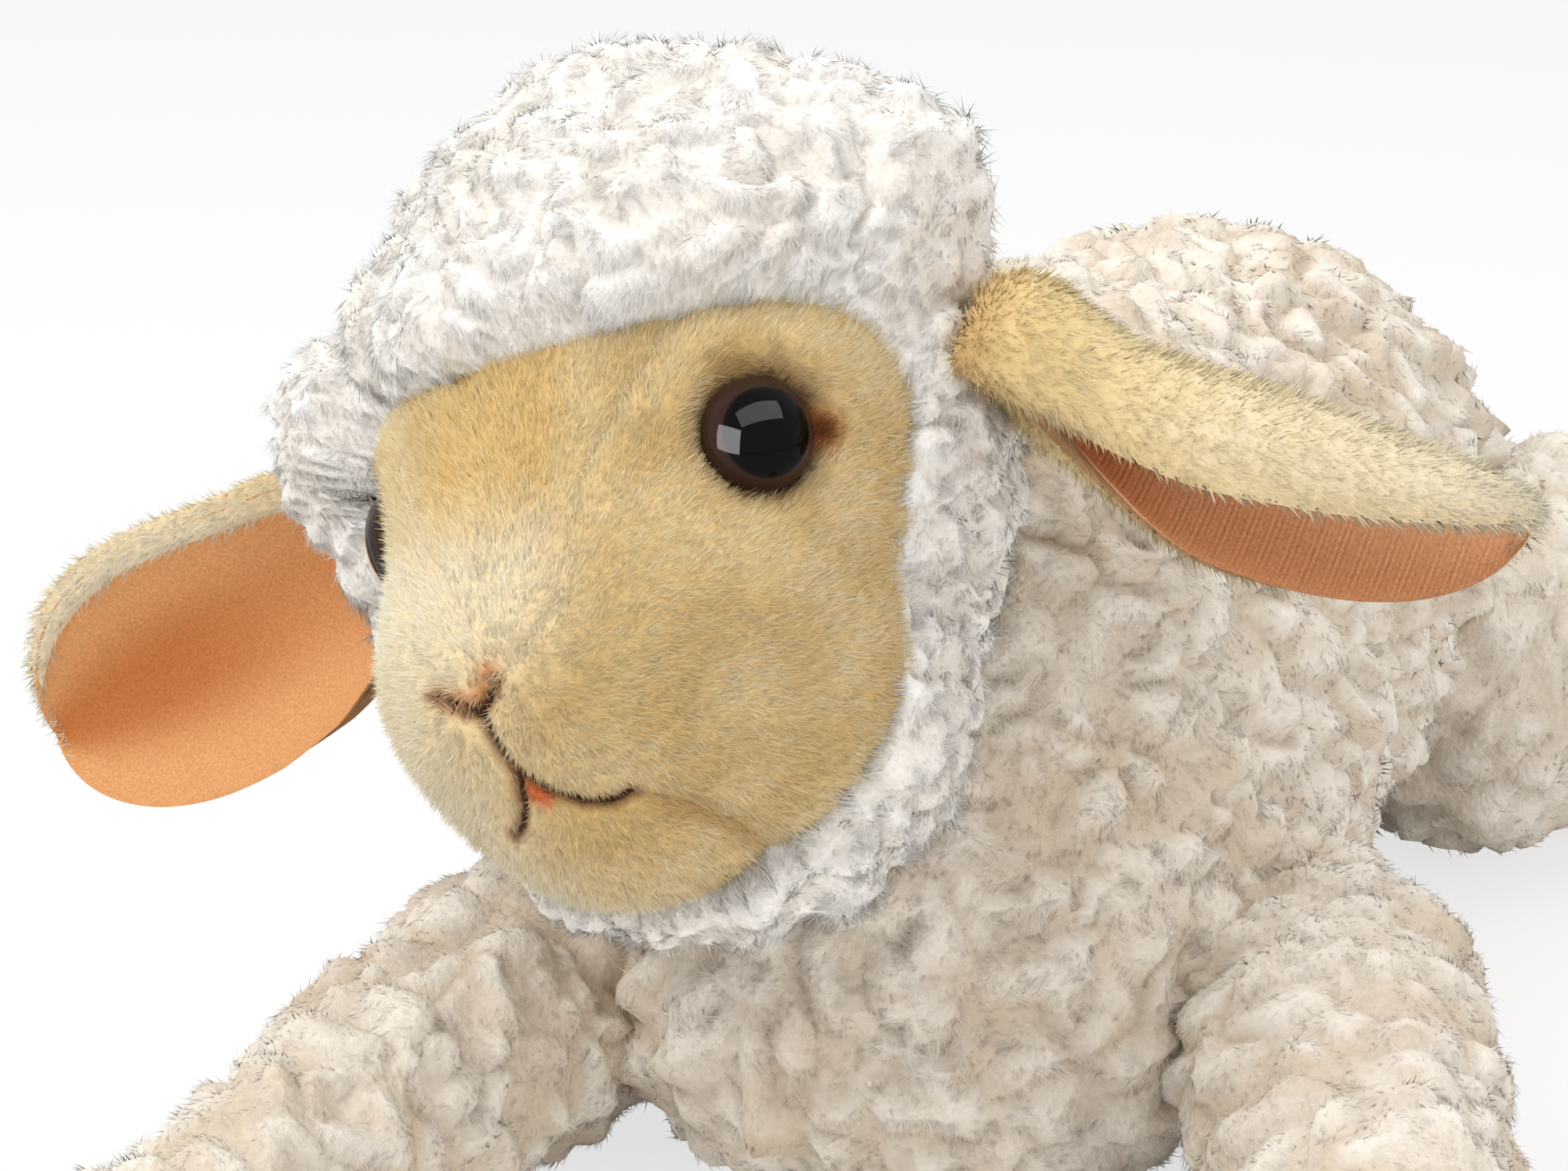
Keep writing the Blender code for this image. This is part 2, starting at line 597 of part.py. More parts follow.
def head_pieces():
    """Adds the head's skins, filling, eyes, stitching and ears."""
    turn = head_matrix()
    pivot_place = HEAD_CENTRE + turn @ scaled(NECK_PIVOT_SHARE, HEAD_SIZE)
    lean = Matrix.Rotation(NECK_LEAN, 3, "X")
    neck = empty("neck_turn_pivot", pivot_place, turn=lean)
    head = empty("head_nod_pivot", Vector((0.0, 0.0, 0.0)), neck, lean.inverted() @ turn)
    start = scaled(HEAD_START_SHARE - NECK_PIVOT_SHARE, HEAD_SIZE)
    face = head_lobes(FACE_LOBE_SHARES)

    hood = add_object("hood_wool", soft_mesh("hood_wool", hood_lobes(), HEAD_BLEND, start), "hood", head)
    core = soft_mesh("head_core", face, HEAD_BLEND, start, -VELOUR_THICKNESS + GAP, CORE_DETAIL)
    core = add_object("head_core", core, parent=head)
    filling = soft_mesh("head_filling", face, HEAD_BLEND, start, -VELOUR_THICKNESS, CORE_DETAIL)
    filling = add_object("head_filling", filling, "stuffing", head)
    opening = face_opening("face_opening", 0.0, head)
    neck_hole = rod("neck_hole", NECK_HOLE_RADIUS, -2.0 * NECK_BALL_RADIUS, NECK_PLUG_RADIUS / 4.0, neck)
    neck_socket = ball("neck_socket", NECK_PLUG_BALL_RADIUS + GAP, neck)
    cut(hood, core, opening, neck_hole)
    cut(filling, neck_hole, neck_socket)

    reach = Vector((2.0 * HEAD_HALF_WIDTH, 3.0 * HEAD_HALF_LENGTH, 2.0 * HEAD_HALF_HEIGHT))
    panel_room = face_opening("face_opening_inside", GAP, head)
    gusset = gusset_wedge("gusset_seam", 0.0, head)
    gusset_room = gusset_wedge("gusset_seam_room", GAP, head)
    jaw = jaw_block("jaw_seam", 0.0, head, reach)
    jaw_room = jaw_block("jaw_seam_room", GAP, head, reach)
    sides = {"left": block("left_half", Vector((GAP / 2.0, -reach.y, -reach.z)), reach, head),
             "right": block("right_half", -reach, Vector((-GAP / 2.0, reach.y, reach.z)), head)}
    panels = {}
    for name in ("forehead_gusset", "cheek_left", "cheek_right", "chin_panel"):
        skin = soft_mesh(name, face, HEAD_BLEND, start, detail=FACE_DETAIL)
        panels[name] = add_object(name, skin, "velour", head)
        cut(panels[name], panel_room, operation="INTERSECT")
        cut(panels[name], core)
    cut(panels["forehead_gusset"], gusset, operation="INTERSECT")
    cut(panels["chin_panel"], jaw, operation="INTERSECT")
    for side_name, half in sides.items():
        cut(panels[f"cheek_{side_name}"], half, operation="INTERSECT")
        cut(panels[f"cheek_{side_name}"], gusset_room, jaw_room)

    for side_name, side in (("left", 1.0), ("right", -1.0)):
        seat, hole, pocket = eye_pieces(side_name, side, head)
        cut(panels[f"cheek_{side_name}"], seat, hole)
        cut(filling, seat, hole, pocket)
    stitch("nose_stitching", NOSE_LINE_SHARES, head)
    stitch("lip_stitching", LIP_LINE_SHARES, head)
    stitch("mouth_stitching", MOUTH_LINE_SHARES, head)

    left = ear_pieces("left", 1.0, LEFT_EAR_AIMS, LEFT_EAR_ROLL, head)
    right = ear_pieces("right", -1.0, RIGHT_EAR_AIMS, RIGHT_EAR_ROLL, head)
    cut(hood, *left, *right)
    return neck, pivot_place


def gusset_wedge(name, gap, head):
    """Adds the outline of the forehead and nose panel as a prism, narrow at the nose."""
    shift = -scaled(NECK_PIVOT_SHARE, HEAD_SIZE)
    side = [(across * HEAD_HALF_WIDTH + gap, up * HEAD_HALF_HEIGHT) for across, up in GUSSET_OUTLINE_SHARES]
    side[-1] = (side[-1][0], side[-1][1] - gap)
    outline = side + [(-across, up) for across, up in reversed(side)]
    rings = [[shift + Vector((x, y, z)) for x, z in outline] for y in (-3.0 * HEAD_HALF_LENGTH, 0.0)]
    return add_object(name, mesh_from(lambda shape: loft(shape, rings), name), parent=head)


def jaw_block(name, gap, head, reach):
    """Adds the leaning block below the jaw seam, which the chin panel fills."""
    seam = empty(f"{name}_frame", scaled(JAW_SEAM_SHARE - NECK_PIVOT_SHARE, HEAD_SIZE), head,
                 Matrix.Rotation(JAW_SEAM_LEAN, 3, "X"))
    return block(name, -2.0 * reach, Vector((2.0 * reach.x, 2.0 * reach.y, gap)), seam)


def rest_head_forms(neck_place):
    """Adds the hood's grown form at rest and at the neck's limits, to make room in the body."""
    start = scaled(HEAD_START_SHARE - NECK_PIVOT_SHARE, HEAD_SIZE)
    mesh = soft_mesh("head_room", hood_lobes(), HEAD_BLEND, start, GAP)
    rest = head_matrix()
    axis = Matrix.Rotation(NECK_LEAN, 3, "X") @ Vector((0, 0, 1))
    turns = (0.0, NECK_TURN_LIMIT, -NECK_TURN_LIMIT)
    poses = [(turn, nod) for turn in turns for nod in (0.0, NECK_NOD_UP, NECK_NOD_DOWN)]
    rooms = []
    for index, (turn, nod) in enumerate(poses):
        pose = Matrix.Rotation(turn, 3, axis) @ rest @ Matrix.Rotation(nod, 3, "X")
        room = add_object(f"head_room_{index}", mesh)
        room.matrix_local = Matrix.Translation(neck_place) @ pose.to_4x4()
        rooms.append(room)
    return rooms


def neck_plug(neck):
    """Adds the plug of tight stuffing that carries the head, and gives its cutter."""
    foot = -NECK_BALL_RADIUS - NECK_PLUG_DEPTH
    low = math.asin(NECK_PLUG_RADIUS / NECK_PLUG_BALL_RADIUS)
    arc = [low + (math.pi - low) * index / 8 for index in range(8)]
    outline = [(NECK_PLUG_RADIUS, foot)]
    outline += [(NECK_PLUG_BALL_RADIUS * math.sin(turn), -NECK_PLUG_BALL_RADIUS * math.cos(turn)) for turn in arc]
    add_object("neck_filling", turned("neck_filling", outline[::-1]), "stuffing", neck)
    return rod("neck_filling_room", NECK_PLUG_RADIUS + GAP, foot - GAP, 0.0, neck)


def tail_rings(flat, grow, segments):
    """Gives the tail's rings, flattened by a share and grown by a gap."""
    aim = TAIL_AIM.normalized()
    side = Vector((1, 0, 0))
    up = aim.cross(side) * flat
    stations = [(share * TAIL_ROOT_RADIUS, math.sqrt(1.0 - share ** 2)) for share in TAIL_REAR_SHARES]
    stations += [(place * TAIL_LENGTH, width) for place, width in TAIL_RADIUS_SHARES]
    return [circle(aim * distance, TAIL_ROOT_RADIUS * width + grow, side, up, segments)
            for distance, width in stations]


def tail_pieces():
    """Adds the small woolly tail on its pivot at the rump, and gives its cutters."""
    pivot = empty("tail_pivot", scaled(TAIL_SHARE, BODY_SIZE))
    wool = mesh_from(lambda shape: loft(shape, tail_rings(TAIL_FLAT_SHARE, 0.0, LEG_SEGMENTS)), "tail_wool")
    add_object("tail_wool", wool, "wool", pivot)
    grow = 3.0 * GAP + TAIL_ROOT_RADIUS * ROUND_CUTTER_SHARE
    room = mesh_from(lambda shape: loft(shape, tail_rings(1.0, grow, ARC_SEGMENTS)), "tail_room")
    return add_object("tail_room", room, parent=pivot), ball("tail_root_room", TAIL_ROOT_RADIUS + grow, pivot)


def body_pieces(floor, rooms, plug_room):
    """Adds the body's wool skin and its filling, with room for what is sewn to it."""
    start = Vector((0.0, 0.0, BODY_HEIGHT / 2.0))
    lobes = body_lobes()
    skin = add_object("body_wool", soft_mesh("body_wool", lobes, BODY_BLEND, start), "wool")
    core = soft_mesh("body_core", lobes, BODY_BLEND, start, -WOOL_THICKNESS + GAP, CORE_DETAIL)
    core = add_object("body_core", core)
    filling = soft_mesh("body_filling", lobes, BODY_BLEND, start, -WOOL_THICKNESS, CORE_DETAIL)
    filling = add_object("body_filling", filling, "stuffing")
    cut(skin, core, floor, *rooms, plug_room)
    cut(filling, *rooms, plug_room)


def shoulder(side):
    """Gives a shoulder's place, with the chest turned a little."""
    middle = Vector((CHEST_MIDDLE_SHARE * BODY_HALF_WIDTH, SHOULDER_SHARE.y * BODY_HALF_LENGTH, 0.0))
    arm = Vector((side * SHOULDER_SHARE.x * BODY_HALF_WIDTH, 0.0, 0.0))
    return middle + Matrix.Rotation(SHOULDER_TWIST, 3, "Z") @ arm


def main():
    """Builds the lamb."""
    clear_scene()
    floor = floor_cutter()
    neck, neck_place = head_pieces()
    plug_room = neck_plug(neck)
    hip = scaled(HIP_SHARE, BODY_SIZE)
    fore = (FORELEG_LENGTH, FORELEG_ROOT_RADIUS, FORELEG_RADIUS_SHARES)
    hind = (HIND_LEG_LENGTH, HIND_LEG_ROOT_RADIUS, HIND_LEG_RADIUS_SHARES)
    legs = [
        Leg("foreleg_left", shoulder(1.0), FORELEG_LEFT_HEADING, fore),
        Leg("foreleg_right", shoulder(-1.0), FORELEG_RIGHT_HEADING, fore),
        Leg("hind_leg_left", hip, HIND_LEG_HEADING, hind),
        Leg("hind_leg_right", Vector((-hip.x, hip.y, 0.0)), -HIND_LEG_HEADING, hind),
    ]
    rooms = rest_head_forms(neck_place)
    for leg in legs:
        leg.build(floor)
        rooms.append(leg.cutter())
    rooms += tail_pieces()
    body_pieces(floor, rooms, plug_room)


main()
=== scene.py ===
"""A lying plush lamb: wool body and hood, velour face, glossy eyes and lined ears, with its pile."""

import json
import logging
import math
from dataclasses import dataclass, field, replace
from enum import Enum
from typing import Any, Callable

import bpy
import numpy as np
from mathutils import Matrix, Vector
from mathutils.kdtree import KDTree


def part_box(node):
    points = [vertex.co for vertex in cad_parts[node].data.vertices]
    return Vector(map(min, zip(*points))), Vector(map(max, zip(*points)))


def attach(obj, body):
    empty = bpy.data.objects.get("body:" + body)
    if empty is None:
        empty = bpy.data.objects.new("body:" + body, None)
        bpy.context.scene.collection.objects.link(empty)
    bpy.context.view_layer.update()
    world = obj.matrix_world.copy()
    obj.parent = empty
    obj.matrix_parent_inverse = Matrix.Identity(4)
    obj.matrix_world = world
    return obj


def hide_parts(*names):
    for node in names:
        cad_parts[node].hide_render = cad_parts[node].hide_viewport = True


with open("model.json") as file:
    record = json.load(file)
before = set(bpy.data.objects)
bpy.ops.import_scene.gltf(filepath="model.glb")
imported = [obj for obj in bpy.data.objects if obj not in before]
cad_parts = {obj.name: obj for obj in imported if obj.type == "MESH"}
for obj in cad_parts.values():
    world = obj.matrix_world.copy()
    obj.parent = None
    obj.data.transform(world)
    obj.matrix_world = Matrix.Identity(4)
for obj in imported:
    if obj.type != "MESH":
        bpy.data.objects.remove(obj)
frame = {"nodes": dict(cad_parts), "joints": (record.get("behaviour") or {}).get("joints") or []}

LOG = logging.getLogger("lamb")
MM = 0.001
TINT = "tint"
BAKE_MAP = "OFBake"
Array = np.ndarray
BRIGHTEST = 0.97
SEARCH_STEPS = 26
CLOTH_SHARE = 0.6
FLOOR_ROOM = 0.0004
RAY_LENGTH = 0.3
WOOL_INSET = 0.0035
FACE_INSET = -0.0018
FACE_THICKNESS = 0.0016
HOOD_THICKNESS = 0.001
RIB_PITCH = 0.00066
LAMB_MIDDLE = (0.0, -0.05, 0.06)
AHEAD = np.array((0.0, -1.0, 0.0))


def rgb(red: float, green: float, blue: float) -> Array:
    """Turns display values from 0 to 255 into linear colour."""
    share = np.array((red, green, blue), float) / 255.0
    return np.where(share <= 0.04045, share / 12.92, ((share + 0.055) / 1.055) ** 2.4)


def unit(vectors: Array) -> Array:
    """Gives the vectors a length of one."""
    return vectors / np.maximum(np.linalg.norm(vectors, axis=-1, keepdims=True), 1e-12)


def smooth(low: float, high: float, values: Array) -> Array:
    """Rises smoothly from 0 at low to 1 at high."""
    share = np.clip((values - low) / (high - low), 0.0, 1.0)
    return share * share * (3.0 - 2.0 * share)


def mixed(first: Array, second: Array, share: Array) -> Array:
    """Mixes two colours, or two lists of colours, by a share for each point."""
    part = np.asarray(share)[..., None]
    return first * (1.0 - part) + second * part


def deselect() -> None:
    """Takes everything out of the selection."""
    bpy.ops.object.select_all(action="DESELECT")


def joint_place(name: str) -> Array:
    """Gives the place where one of the CAD's joints turns."""
    return np.array(next(item for item in frame["joints"] if item["name"] == name)["pos_m"])


def path_distance(points: Array, path: Array) -> Array:
    """Measures each point's distance to a line of straight stretches.

    Args:
        points: Places, one row each.
        path: The line's corners, one row each.

    Returns:
        The distances.
    """
    nearest = np.full(len(points), np.inf)
    for start, end in zip(path[:-1], path[1:]):
        along = end - start
        share = np.clip((points - start) @ along / max(along @ along, 1e-18), 0.0, 1.0)
        gap = np.linalg.norm(points - start - share[:, None] * along, axis=1)
        nearest = np.minimum(nearest, gap)
    return nearest


def wisps(points: Array, size: float, seed: int) -> Array:
    """Gives a way at each point that turns slowly over a size, as wool lies in wisps."""
    return np.stack([Waves(size, seed + axis).at(points) for axis in range(3)], axis=1)


class Waves:
    """A smooth random field made of waves, for lumps and drifting colour."""

    def __init__(self, size: float, seed: int, count: int = 28) -> None:
        """Draws the waves.

        Args:
            size: Length of the longest wave, in metres.
            seed: Start of the random numbers.
            count: Number of waves.
        """
        rng = np.random.default_rng(seed)
        lengths = size * rng.uniform(0.45, 1.0, count)
        self.ways = unit(rng.normal(size=(count, 3))) * (2.0 * math.pi / lengths)[:, None]
        self.starts = rng.uniform(0.0, 2.0 * math.pi, count)
        self.scale = 1.0 / math.sqrt(count / 2.0)

    def at(self, points: Array) -> Array:
        """Gives the field at the points, mostly between -1 and 1."""
        return np.sin(points @ self.ways.T + self.starts).sum(axis=1) * self.scale * 0.6


@dataclass(frozen=True)
class Place:
    """Where a local frame lies in the row's frame."""

    turn: Array
    origin: Array

    def out(self, points: Array) -> Array:
        """Takes local points to the row's frame."""
        return points @ self.turn.T + self.origin

    def inward(self, points: Array) -> Array:
        """Takes points of the row's frame to the local one."""
        return (points - self.origin) @ self.turn


@dataclass(frozen=True)
class SoftForm:
    """A stuffed form: rounded lobes that run into each other."""

    lobes: tuple[tuple[tuple[float, float, float], tuple[float, float, float]], ...]
    blend: float
    start: tuple[float, float, float]
    place: Place

    def distance(self, points: Array) -> Array:
        """Gives the distance of points in the row's frame, negative inside."""
        return self.local_distance(self.place.inward(points))

    def local_distance(self, points: Array) -> Array:
        """Gives the distance of local points, negative inside."""
        total = None
        for centre, radii in self.lobes:
            away = points - np.array(centre) * MM
            size = np.array(radii) * MM
            near = np.linalg.norm(away / size, axis=1)
            steep = np.maximum(np.linalg.norm(away / size ** 2, axis=1), 1e-9)
            gap = near * (near - 1.0) / steep
            if total is None:
                total = gap
                continue
            mix = np.maximum(self.blend - np.abs(total - gap), 0.0) / self.blend
            total = np.minimum(total, gap) - mix * mix * self.blend / 4.0
        return total

    def depth(self, start: Array, ways: Array, grow: float, reach: float) -> Array:
        """Measures how far rays run before they leave the form.

        Args:
            start: Where the rays start, in the local frame.
            ways: Unit vectors in the local frame.
            grow: Distance outside the form to stop at.
            reach: Length of the rays.

        Returns:
            The distances.
        """
        low, high = np.zeros(len(ways)), np.full(len(ways), reach)
        for _ in range(SEARCH_STEPS):
            middle = (low + high) / 2.0
            inside = self.local_distance(start + ways * middle[:, None]) < grow
            low, high = np.where(inside, middle, low), np.where(inside, high, middle)
        return low

    def surface(self, ways: Array, grow: float) -> Array:
        """Finds the local points where rays from the form's start leave it."""
        start = np.array(self.start) * MM
        return start + ways * self.depth(start, ways, grow, RAY_LENGTH)[:, None]


def fixed_triangles(corners: Array, starts: Array, totals: Array) -> Array:
    """Splits faces into triangles whose order is the same in each run.

    Args:
        corners: The points' numbers, face after face.
        starts: Where each face starts in them.
        totals: How many corners each face has, 3 or 4.

    Returns:
        The triangles, one row each.
    """
    rows = []
    for sides in (3, 4):
        group = corners[starts[totals == sides][:, None] + np.arange(sides)]
        turn = (group.argmin(axis=1)[:, None] + np.arange(sides)) % sides
        group = np.take_along_axis(group, turn, axis=1)
        rows += [group[:, (0, last - 1, last)] for last in range(2, sides)]
    faces = np.concatenate(rows)
    return faces[np.lexsort(faces.T[::-1])]


class Skin:
    """A mesh held as arrays while it is shaped."""

    def __init__(self, points: Array, faces: Array) -> None:
        """Keeps the points and triangles."""
        self.points, self.faces = points, faces

    @classmethod
    def from_primitive(cls, add: Callable[..., Any], **sizes: Any) -> "Skin":
        """Takes the points and faces of one of Blender's primitives.

        Args:
            add: The operator that adds it.
            **sizes: The operator's settings.

        Returns:
            The skin, with its faces as triangles.
        """
        deselect()
        add(**sizes)
        made = bpy.context.active_object
        mesh = made.data
        points = np.empty(len(mesh.vertices) * 3)
        mesh.vertices.foreach_get("co", points)
        corners = np.empty(len(mesh.loops), np.int32)
        mesh.loops.foreach_get("vertex_index", corners)
        starts, totals = (np.empty(len(mesh.polygons), np.int32) for _ in range(2))
        mesh.polygons.foreach_get("loop_start", starts)
        mesh.polygons.foreach_get("loop_total", totals)
        bpy.data.objects.remove(made)
        bpy.data.meshes.remove(mesh)
        plain = (totals == 3).all()
        faces = corners.reshape(-1, 3) if plain else fixed_triangles(corners, starts, totals)
        return cls(points.reshape(-1, 3), faces.astype(np.int64))

    @classmethod
    def ball(cls, segments: int, rings: int) -> "Skin":
        """Gives a ball of radius one whose poles are on the Z axis."""
        return cls.from_primitive(bpy.ops.mesh.primitive_uv_sphere_add, segments=segments, ring_count=rings,
                                  radius=1.0)

    @classmethod
    def even_ball(cls) -> "Skin":
        """Gives a ball of radius one with even triangles."""
        return cls.from_primitive(bpy.ops.mesh.primitive_ico_sphere_add, subdivisions=7, radius=1.0)

    def normals(self) -> Array:
        """Gives the points' normals."""
        a, b, c = (self.points[self.faces[:, corner]] for corner in range(3))
        across = np.cross(b - a, c - a)
        total = np.zeros_like(self.points)
        for corner in range(3):
            np.add.at(total, self.faces[:, corner], across)
        return unit(total)

    def outward(self) -> "Skin":
        """Turns a closed skin's faces outwards, and gives it back."""
        a, b, c = (self.points[self.faces[:, corner]] - self.points.mean(axis=0) for corner in range(3))
        if (np.cross(a, b) * c).sum() < 0.0:
            self.faces = self.faces[:, ::-1]
        return self

    def settle(self, rounds: int) -> None:
        """Brings the points halfway to their neighbours' mean, as often as is said."""
        edges = np.concatenate([self.faces[:, (0, 1)], self.faces[:, (1, 2)], self.faces[:, (2, 0)]])
        counts = np.bincount(edges[:, 0], minlength=len(self.points))[:, None]
        for _ in range(rounds):
            total = np.zeros_like(self.points)
            np.add.at(total, edges[:, 0], self.points[edges[:, 1]])
            self.points = self.points * 0.5 + total / np.maximum(counts, 1) * 0.5

    def part(self, keep: Array) -> "Skin":
        """Gives the skin of the faces that are kept."""
        faces = self.faces[keep]
        used = np.unique(faces)
        numbers = np.full(len(self.points), -1)
        numbers[used] = np.arange(len(used))
        return Skin(self.points[used], numbers[faces])

    def centres(self) -> Array:
        """Gives the faces' centres."""
        return self.points[self.faces].mean(axis=1)

    def sample(self, count: int, weight: Array | None, rng: np.random.Generator,
               values: Array | None = None) -> tuple[Array, ...]:
        """Draws places spread evenly over the skin.

        Args:
            count: How many.
            weight: A weight for each face, or None.
            rng: Random numbers.
            values: What else is known of each point, one row each, or None.

        Returns:
            The places, their normals and the values there if any were given.
        """
        area = self.sizes() if weight is None else self.sizes() * weight
        steps = np.cumsum(area)
        face = np.searchsorted(steps, rng.uniform(0.0, steps[-1], count))
        first, second = rng.uniform(size=count), rng.uniform(size=count)
        flip = first + second > 1.0
        first, second = np.where(flip, 1.0 - first, first), np.where(flip, 1.0 - second, second)
        shares = np.stack([1.0 - first - second, first, second], axis=1)
        corners = self.faces[face]
        places = (self.points[corners] * shares[:, :, None]).sum(axis=1)
        ways = unit((self.normals()[corners] * shares[:, :, None]).sum(axis=1))
        if values is None:
            return places, ways
        return places, ways, (values[corners] * shares[:, :, None]).sum(axis=1)

    def sizes(self) -> Array:
        """Gives each face's area."""
        a, b, c = (self.points[self.faces[:, corner]] for corner in range(3))
        return np.linalg.norm(np.cross(b - a, c - a), axis=1) / 2.0

    def area(self) -> float:
        """Gives the skin's area in square metres."""
        return float(self.sizes().sum())


def mesh_object(name: str, points: Array, faces: Array, tints: Array | None) -> bpy.types.Object:
    """Makes a mesh object of triangles.

    Args:
        name: The piece's name.
        points: Places, one row each.
        faces: Corners of the triangles, one row each.
        tints: A linear colour for each point, or None.

    Returns:
        The object, at the origin.
    """
    mesh = bpy.data.meshes.new(name)
    mesh.vertices.add(len(points))
    mesh.vertices.foreach_set("co", np.ascontiguousarray(points, np.float32).ravel())
    mesh.loops.add(faces.size)
    mesh.loops.foreach_set("vertex_index", np.ascontiguousarray(faces, np.int32).ravel())
    mesh.polygons.add(len(faces))
    mesh.polygons.foreach_set("loop_start", np.arange(0, faces.size, 3, dtype=np.int32))
    mesh.polygons.foreach_set("use_smooth", np.ones(len(faces), bool))
    mesh.update(calc_edges=True)
    if tints is not None:
        paint(mesh, tints)
    made = bpy.data.objects.new(name, mesh)
    bpy.context.scene.collection.objects.link(made)
    return made


def paint(mesh: bpy.types.Mesh, tints: Array) -> None:
    """Writes a linear colour for each of a mesh's points."""
    layer = mesh.color_attributes.new(TINT, "FLOAT_COLOR", "POINT")
    colours = np.ones((len(tints), 4), np.float32)
    colours[:, :3] = np.clip(tints, 0.0, 1.0)
    layer.data.foreach_set("color", colours.ravel())


def apply_modifier(made: bpy.types.Object, kind: str, **settings: Any) -> None:
    """Adds a modifier, sets it and applies it."""
    deselect()
    made.select_set(True)
    bpy.context.view_layer.objects.active = made
    change = made.modifiers.new(kind.lower(), kind)
    for key, value in settings.items():
        setattr(change, key, value)
    bpy.ops.object.modifier_apply(modifier=change.name)


class Wire:
    """An output socket on which sums are written as on numbers."""

    def __init__(self, tree: "Tree", socket: bpy.types.NodeSocket) -> None:
        """Keeps the socket and its tree."""
        self.tree, self.socket = tree, socket

    def _sum(self, operation: str, other: Any) -> "Wire":
        """Adds one Math node."""
        return self.tree.node("ShaderNodeMath", {"operation": operation}, [self, other])

    def __add__(self, other: Any) -> "Wire":
        """Adds."""
        return self._sum("ADD", other)

    def __mul__(self, other: Any) -> "Wire":
        """Multiplies."""
        return self._sum("MULTIPLY", other)


class Tree:
    """A material's nodes."""

    def __init__(self, name: str) -> None:
        """Starts a material with its Principled shader."""
        self.material = bpy.data.materials.new(name)
        self.material.use_nodes = True
        self.nodes = self.material.node_tree.nodes
        self.links = self.material.node_tree.links
        self.shader = self.nodes["Principled BSDF"]

    def node(self, kind: str, settings: dict[str, Any], inputs: Any, output: int | str = 0) -> Wire:
        """Adds a node.

        Args:
            kind: Blender's name of the node's type.
            settings: The node's own settings, set first.
            inputs: Values or wires of its sockets, as a list or by name.
            output: Which of its outputs to give.

        Returns:
            That output.
        """
        made = self.nodes.new(kind)
        for key, value in settings.items():
            if key == "stops":
                ramp = made.color_ramp.elements
                while len(ramp) < len(value):
                    ramp.new(0.5)
                for element, (position, colour) in zip(ramp, value):
                    element.position = position
                    element.color = (*colour, 1.0)
                continue
            setattr(made, key, value)
        pairs = inputs.items() if isinstance(inputs, dict) else enumerate(inputs)
        for key, value in pairs:
            self.feed(made.inputs[key], value)
        return Wire(self, made.outputs[output])

    def feed(self, socket: bpy.types.NodeSocket, value: Any) -> None:
        """Sets or links one socket."""
        if isinstance(value, Wire):
            self.links.new(value.socket, socket)
        else:
            socket.default_value = value

    def dress(self, **sockets: Any) -> bpy.types.Material:
        """Feeds the shader's sockets, whose names have _ for a space, and gives the material."""
        for key, value in sockets.items():
            self.feed(self.shader.inputs[key.replace("_", " ")], value)
        return self.material

    def tint(self) -> Wire:
        """Reads the painted colour."""
        return self.node("ShaderNodeAttribute", {"attribute_name": TINT}, {}, "Color")

    def noise(self, scale: float, detail: float = 3.0) -> Wire:
        """Adds noise on Object coordinates."""
        place = self.node("ShaderNodeTexCoord", {}, {}, "Object")
        return self.node("ShaderNodeTexNoise", {}, {"Vector": place, "Scale": scale, "Detail": detail}, 0)

    def shaded(self, colour: Wire, amount: Wire, dark: float) -> Wire:
        """Multiplies a colour by a grey that the amount drives from dark to white."""
        stops = [(0.3, (dark, dark, dark)), (0.7, (1.0, 1.0, 1.0))]
        grey = self.node("ShaderNodeValToRGB", {"stops": stops}, [amount])
        return self.node("ShaderNodeMix", {"data_type": "RGBA", "blend_type": "MULTIPLY"},
                         {0: 1.0, 6: colour, 7: grey}, 2)


@dataclass(frozen=True)
class PileFinish:
    """The finish of a pile or of the cloth under it, whose colour is painted on."""

    name: str
    roughness: float = 0.85
    sheen: float = 0.25
    grain: float = 900.0
    dark: float = 0.9
    bump: float = 0.0

    def material(self) -> bpy.types.Material:
        """Builds the material."""
        tree = Tree(self.name)
        fine = tree.noise(self.grain)
        colour = tree.shaded(tree.tint(), fine, self.dark)
        tree.dress(Base_Color=colour, Roughness=fine * 0.2 + (self.roughness - 0.1), Sheen_Weight=self.sheen,
                   Sheen_Roughness=0.6, Specular_IOR_Level=0.0)
        if self.bump:
            tree.dress(Normal=tree.node("ShaderNodeBump", {}, {"Strength": self.bump, "Distance": 0.001,
                                                               "Height": fine}))
        return tree.material


@dataclass(frozen=True)
class VelvetFinish:
    """The ears' lining: short velvet, with a fine bump of its pile."""

    name: str
    roughness: float = 0.9
    depth: float = 0.15
    grain: float = 2600.0

    def material(self) -> bpy.types.Material:
        """Builds the material."""
        tree = Tree(self.name)
        fine = tree.noise(self.grain, 4.0)
        colour = tree.shaded(tree.tint(), fine, 0.72)
        bump = tree.node("ShaderNodeBump", {}, {"Strength": self.depth, "Distance": 0.0004, "Height": fine})
        return tree.dress(Base_Color=colour, Roughness=fine * 0.15 + (self.roughness - 0.08),
                          Specular_IOR_Level=0.0, Normal=bump)


@dataclass(frozen=True)
class GlossFinish:
    """Polished plastic whose colour is painted on."""

    name: str
    roughness: float = 0.06
    coat: float = 1.0

    def material(self) -> bpy.types.Material:
        """Builds the material."""
        tree = Tree(self.name)
        scratches = tree.noise(1400.0)
        colour = tree.shaded(tree.tint(), scratches, 0.9)
        return tree.dress(Base_Color=colour, Roughness=scratches * 0.04 + self.roughness,
                          Coat_Weight=self.coat, Coat_Roughness=0.02, Coat_IOR=1.2, Specular_IOR_Level=0.0)


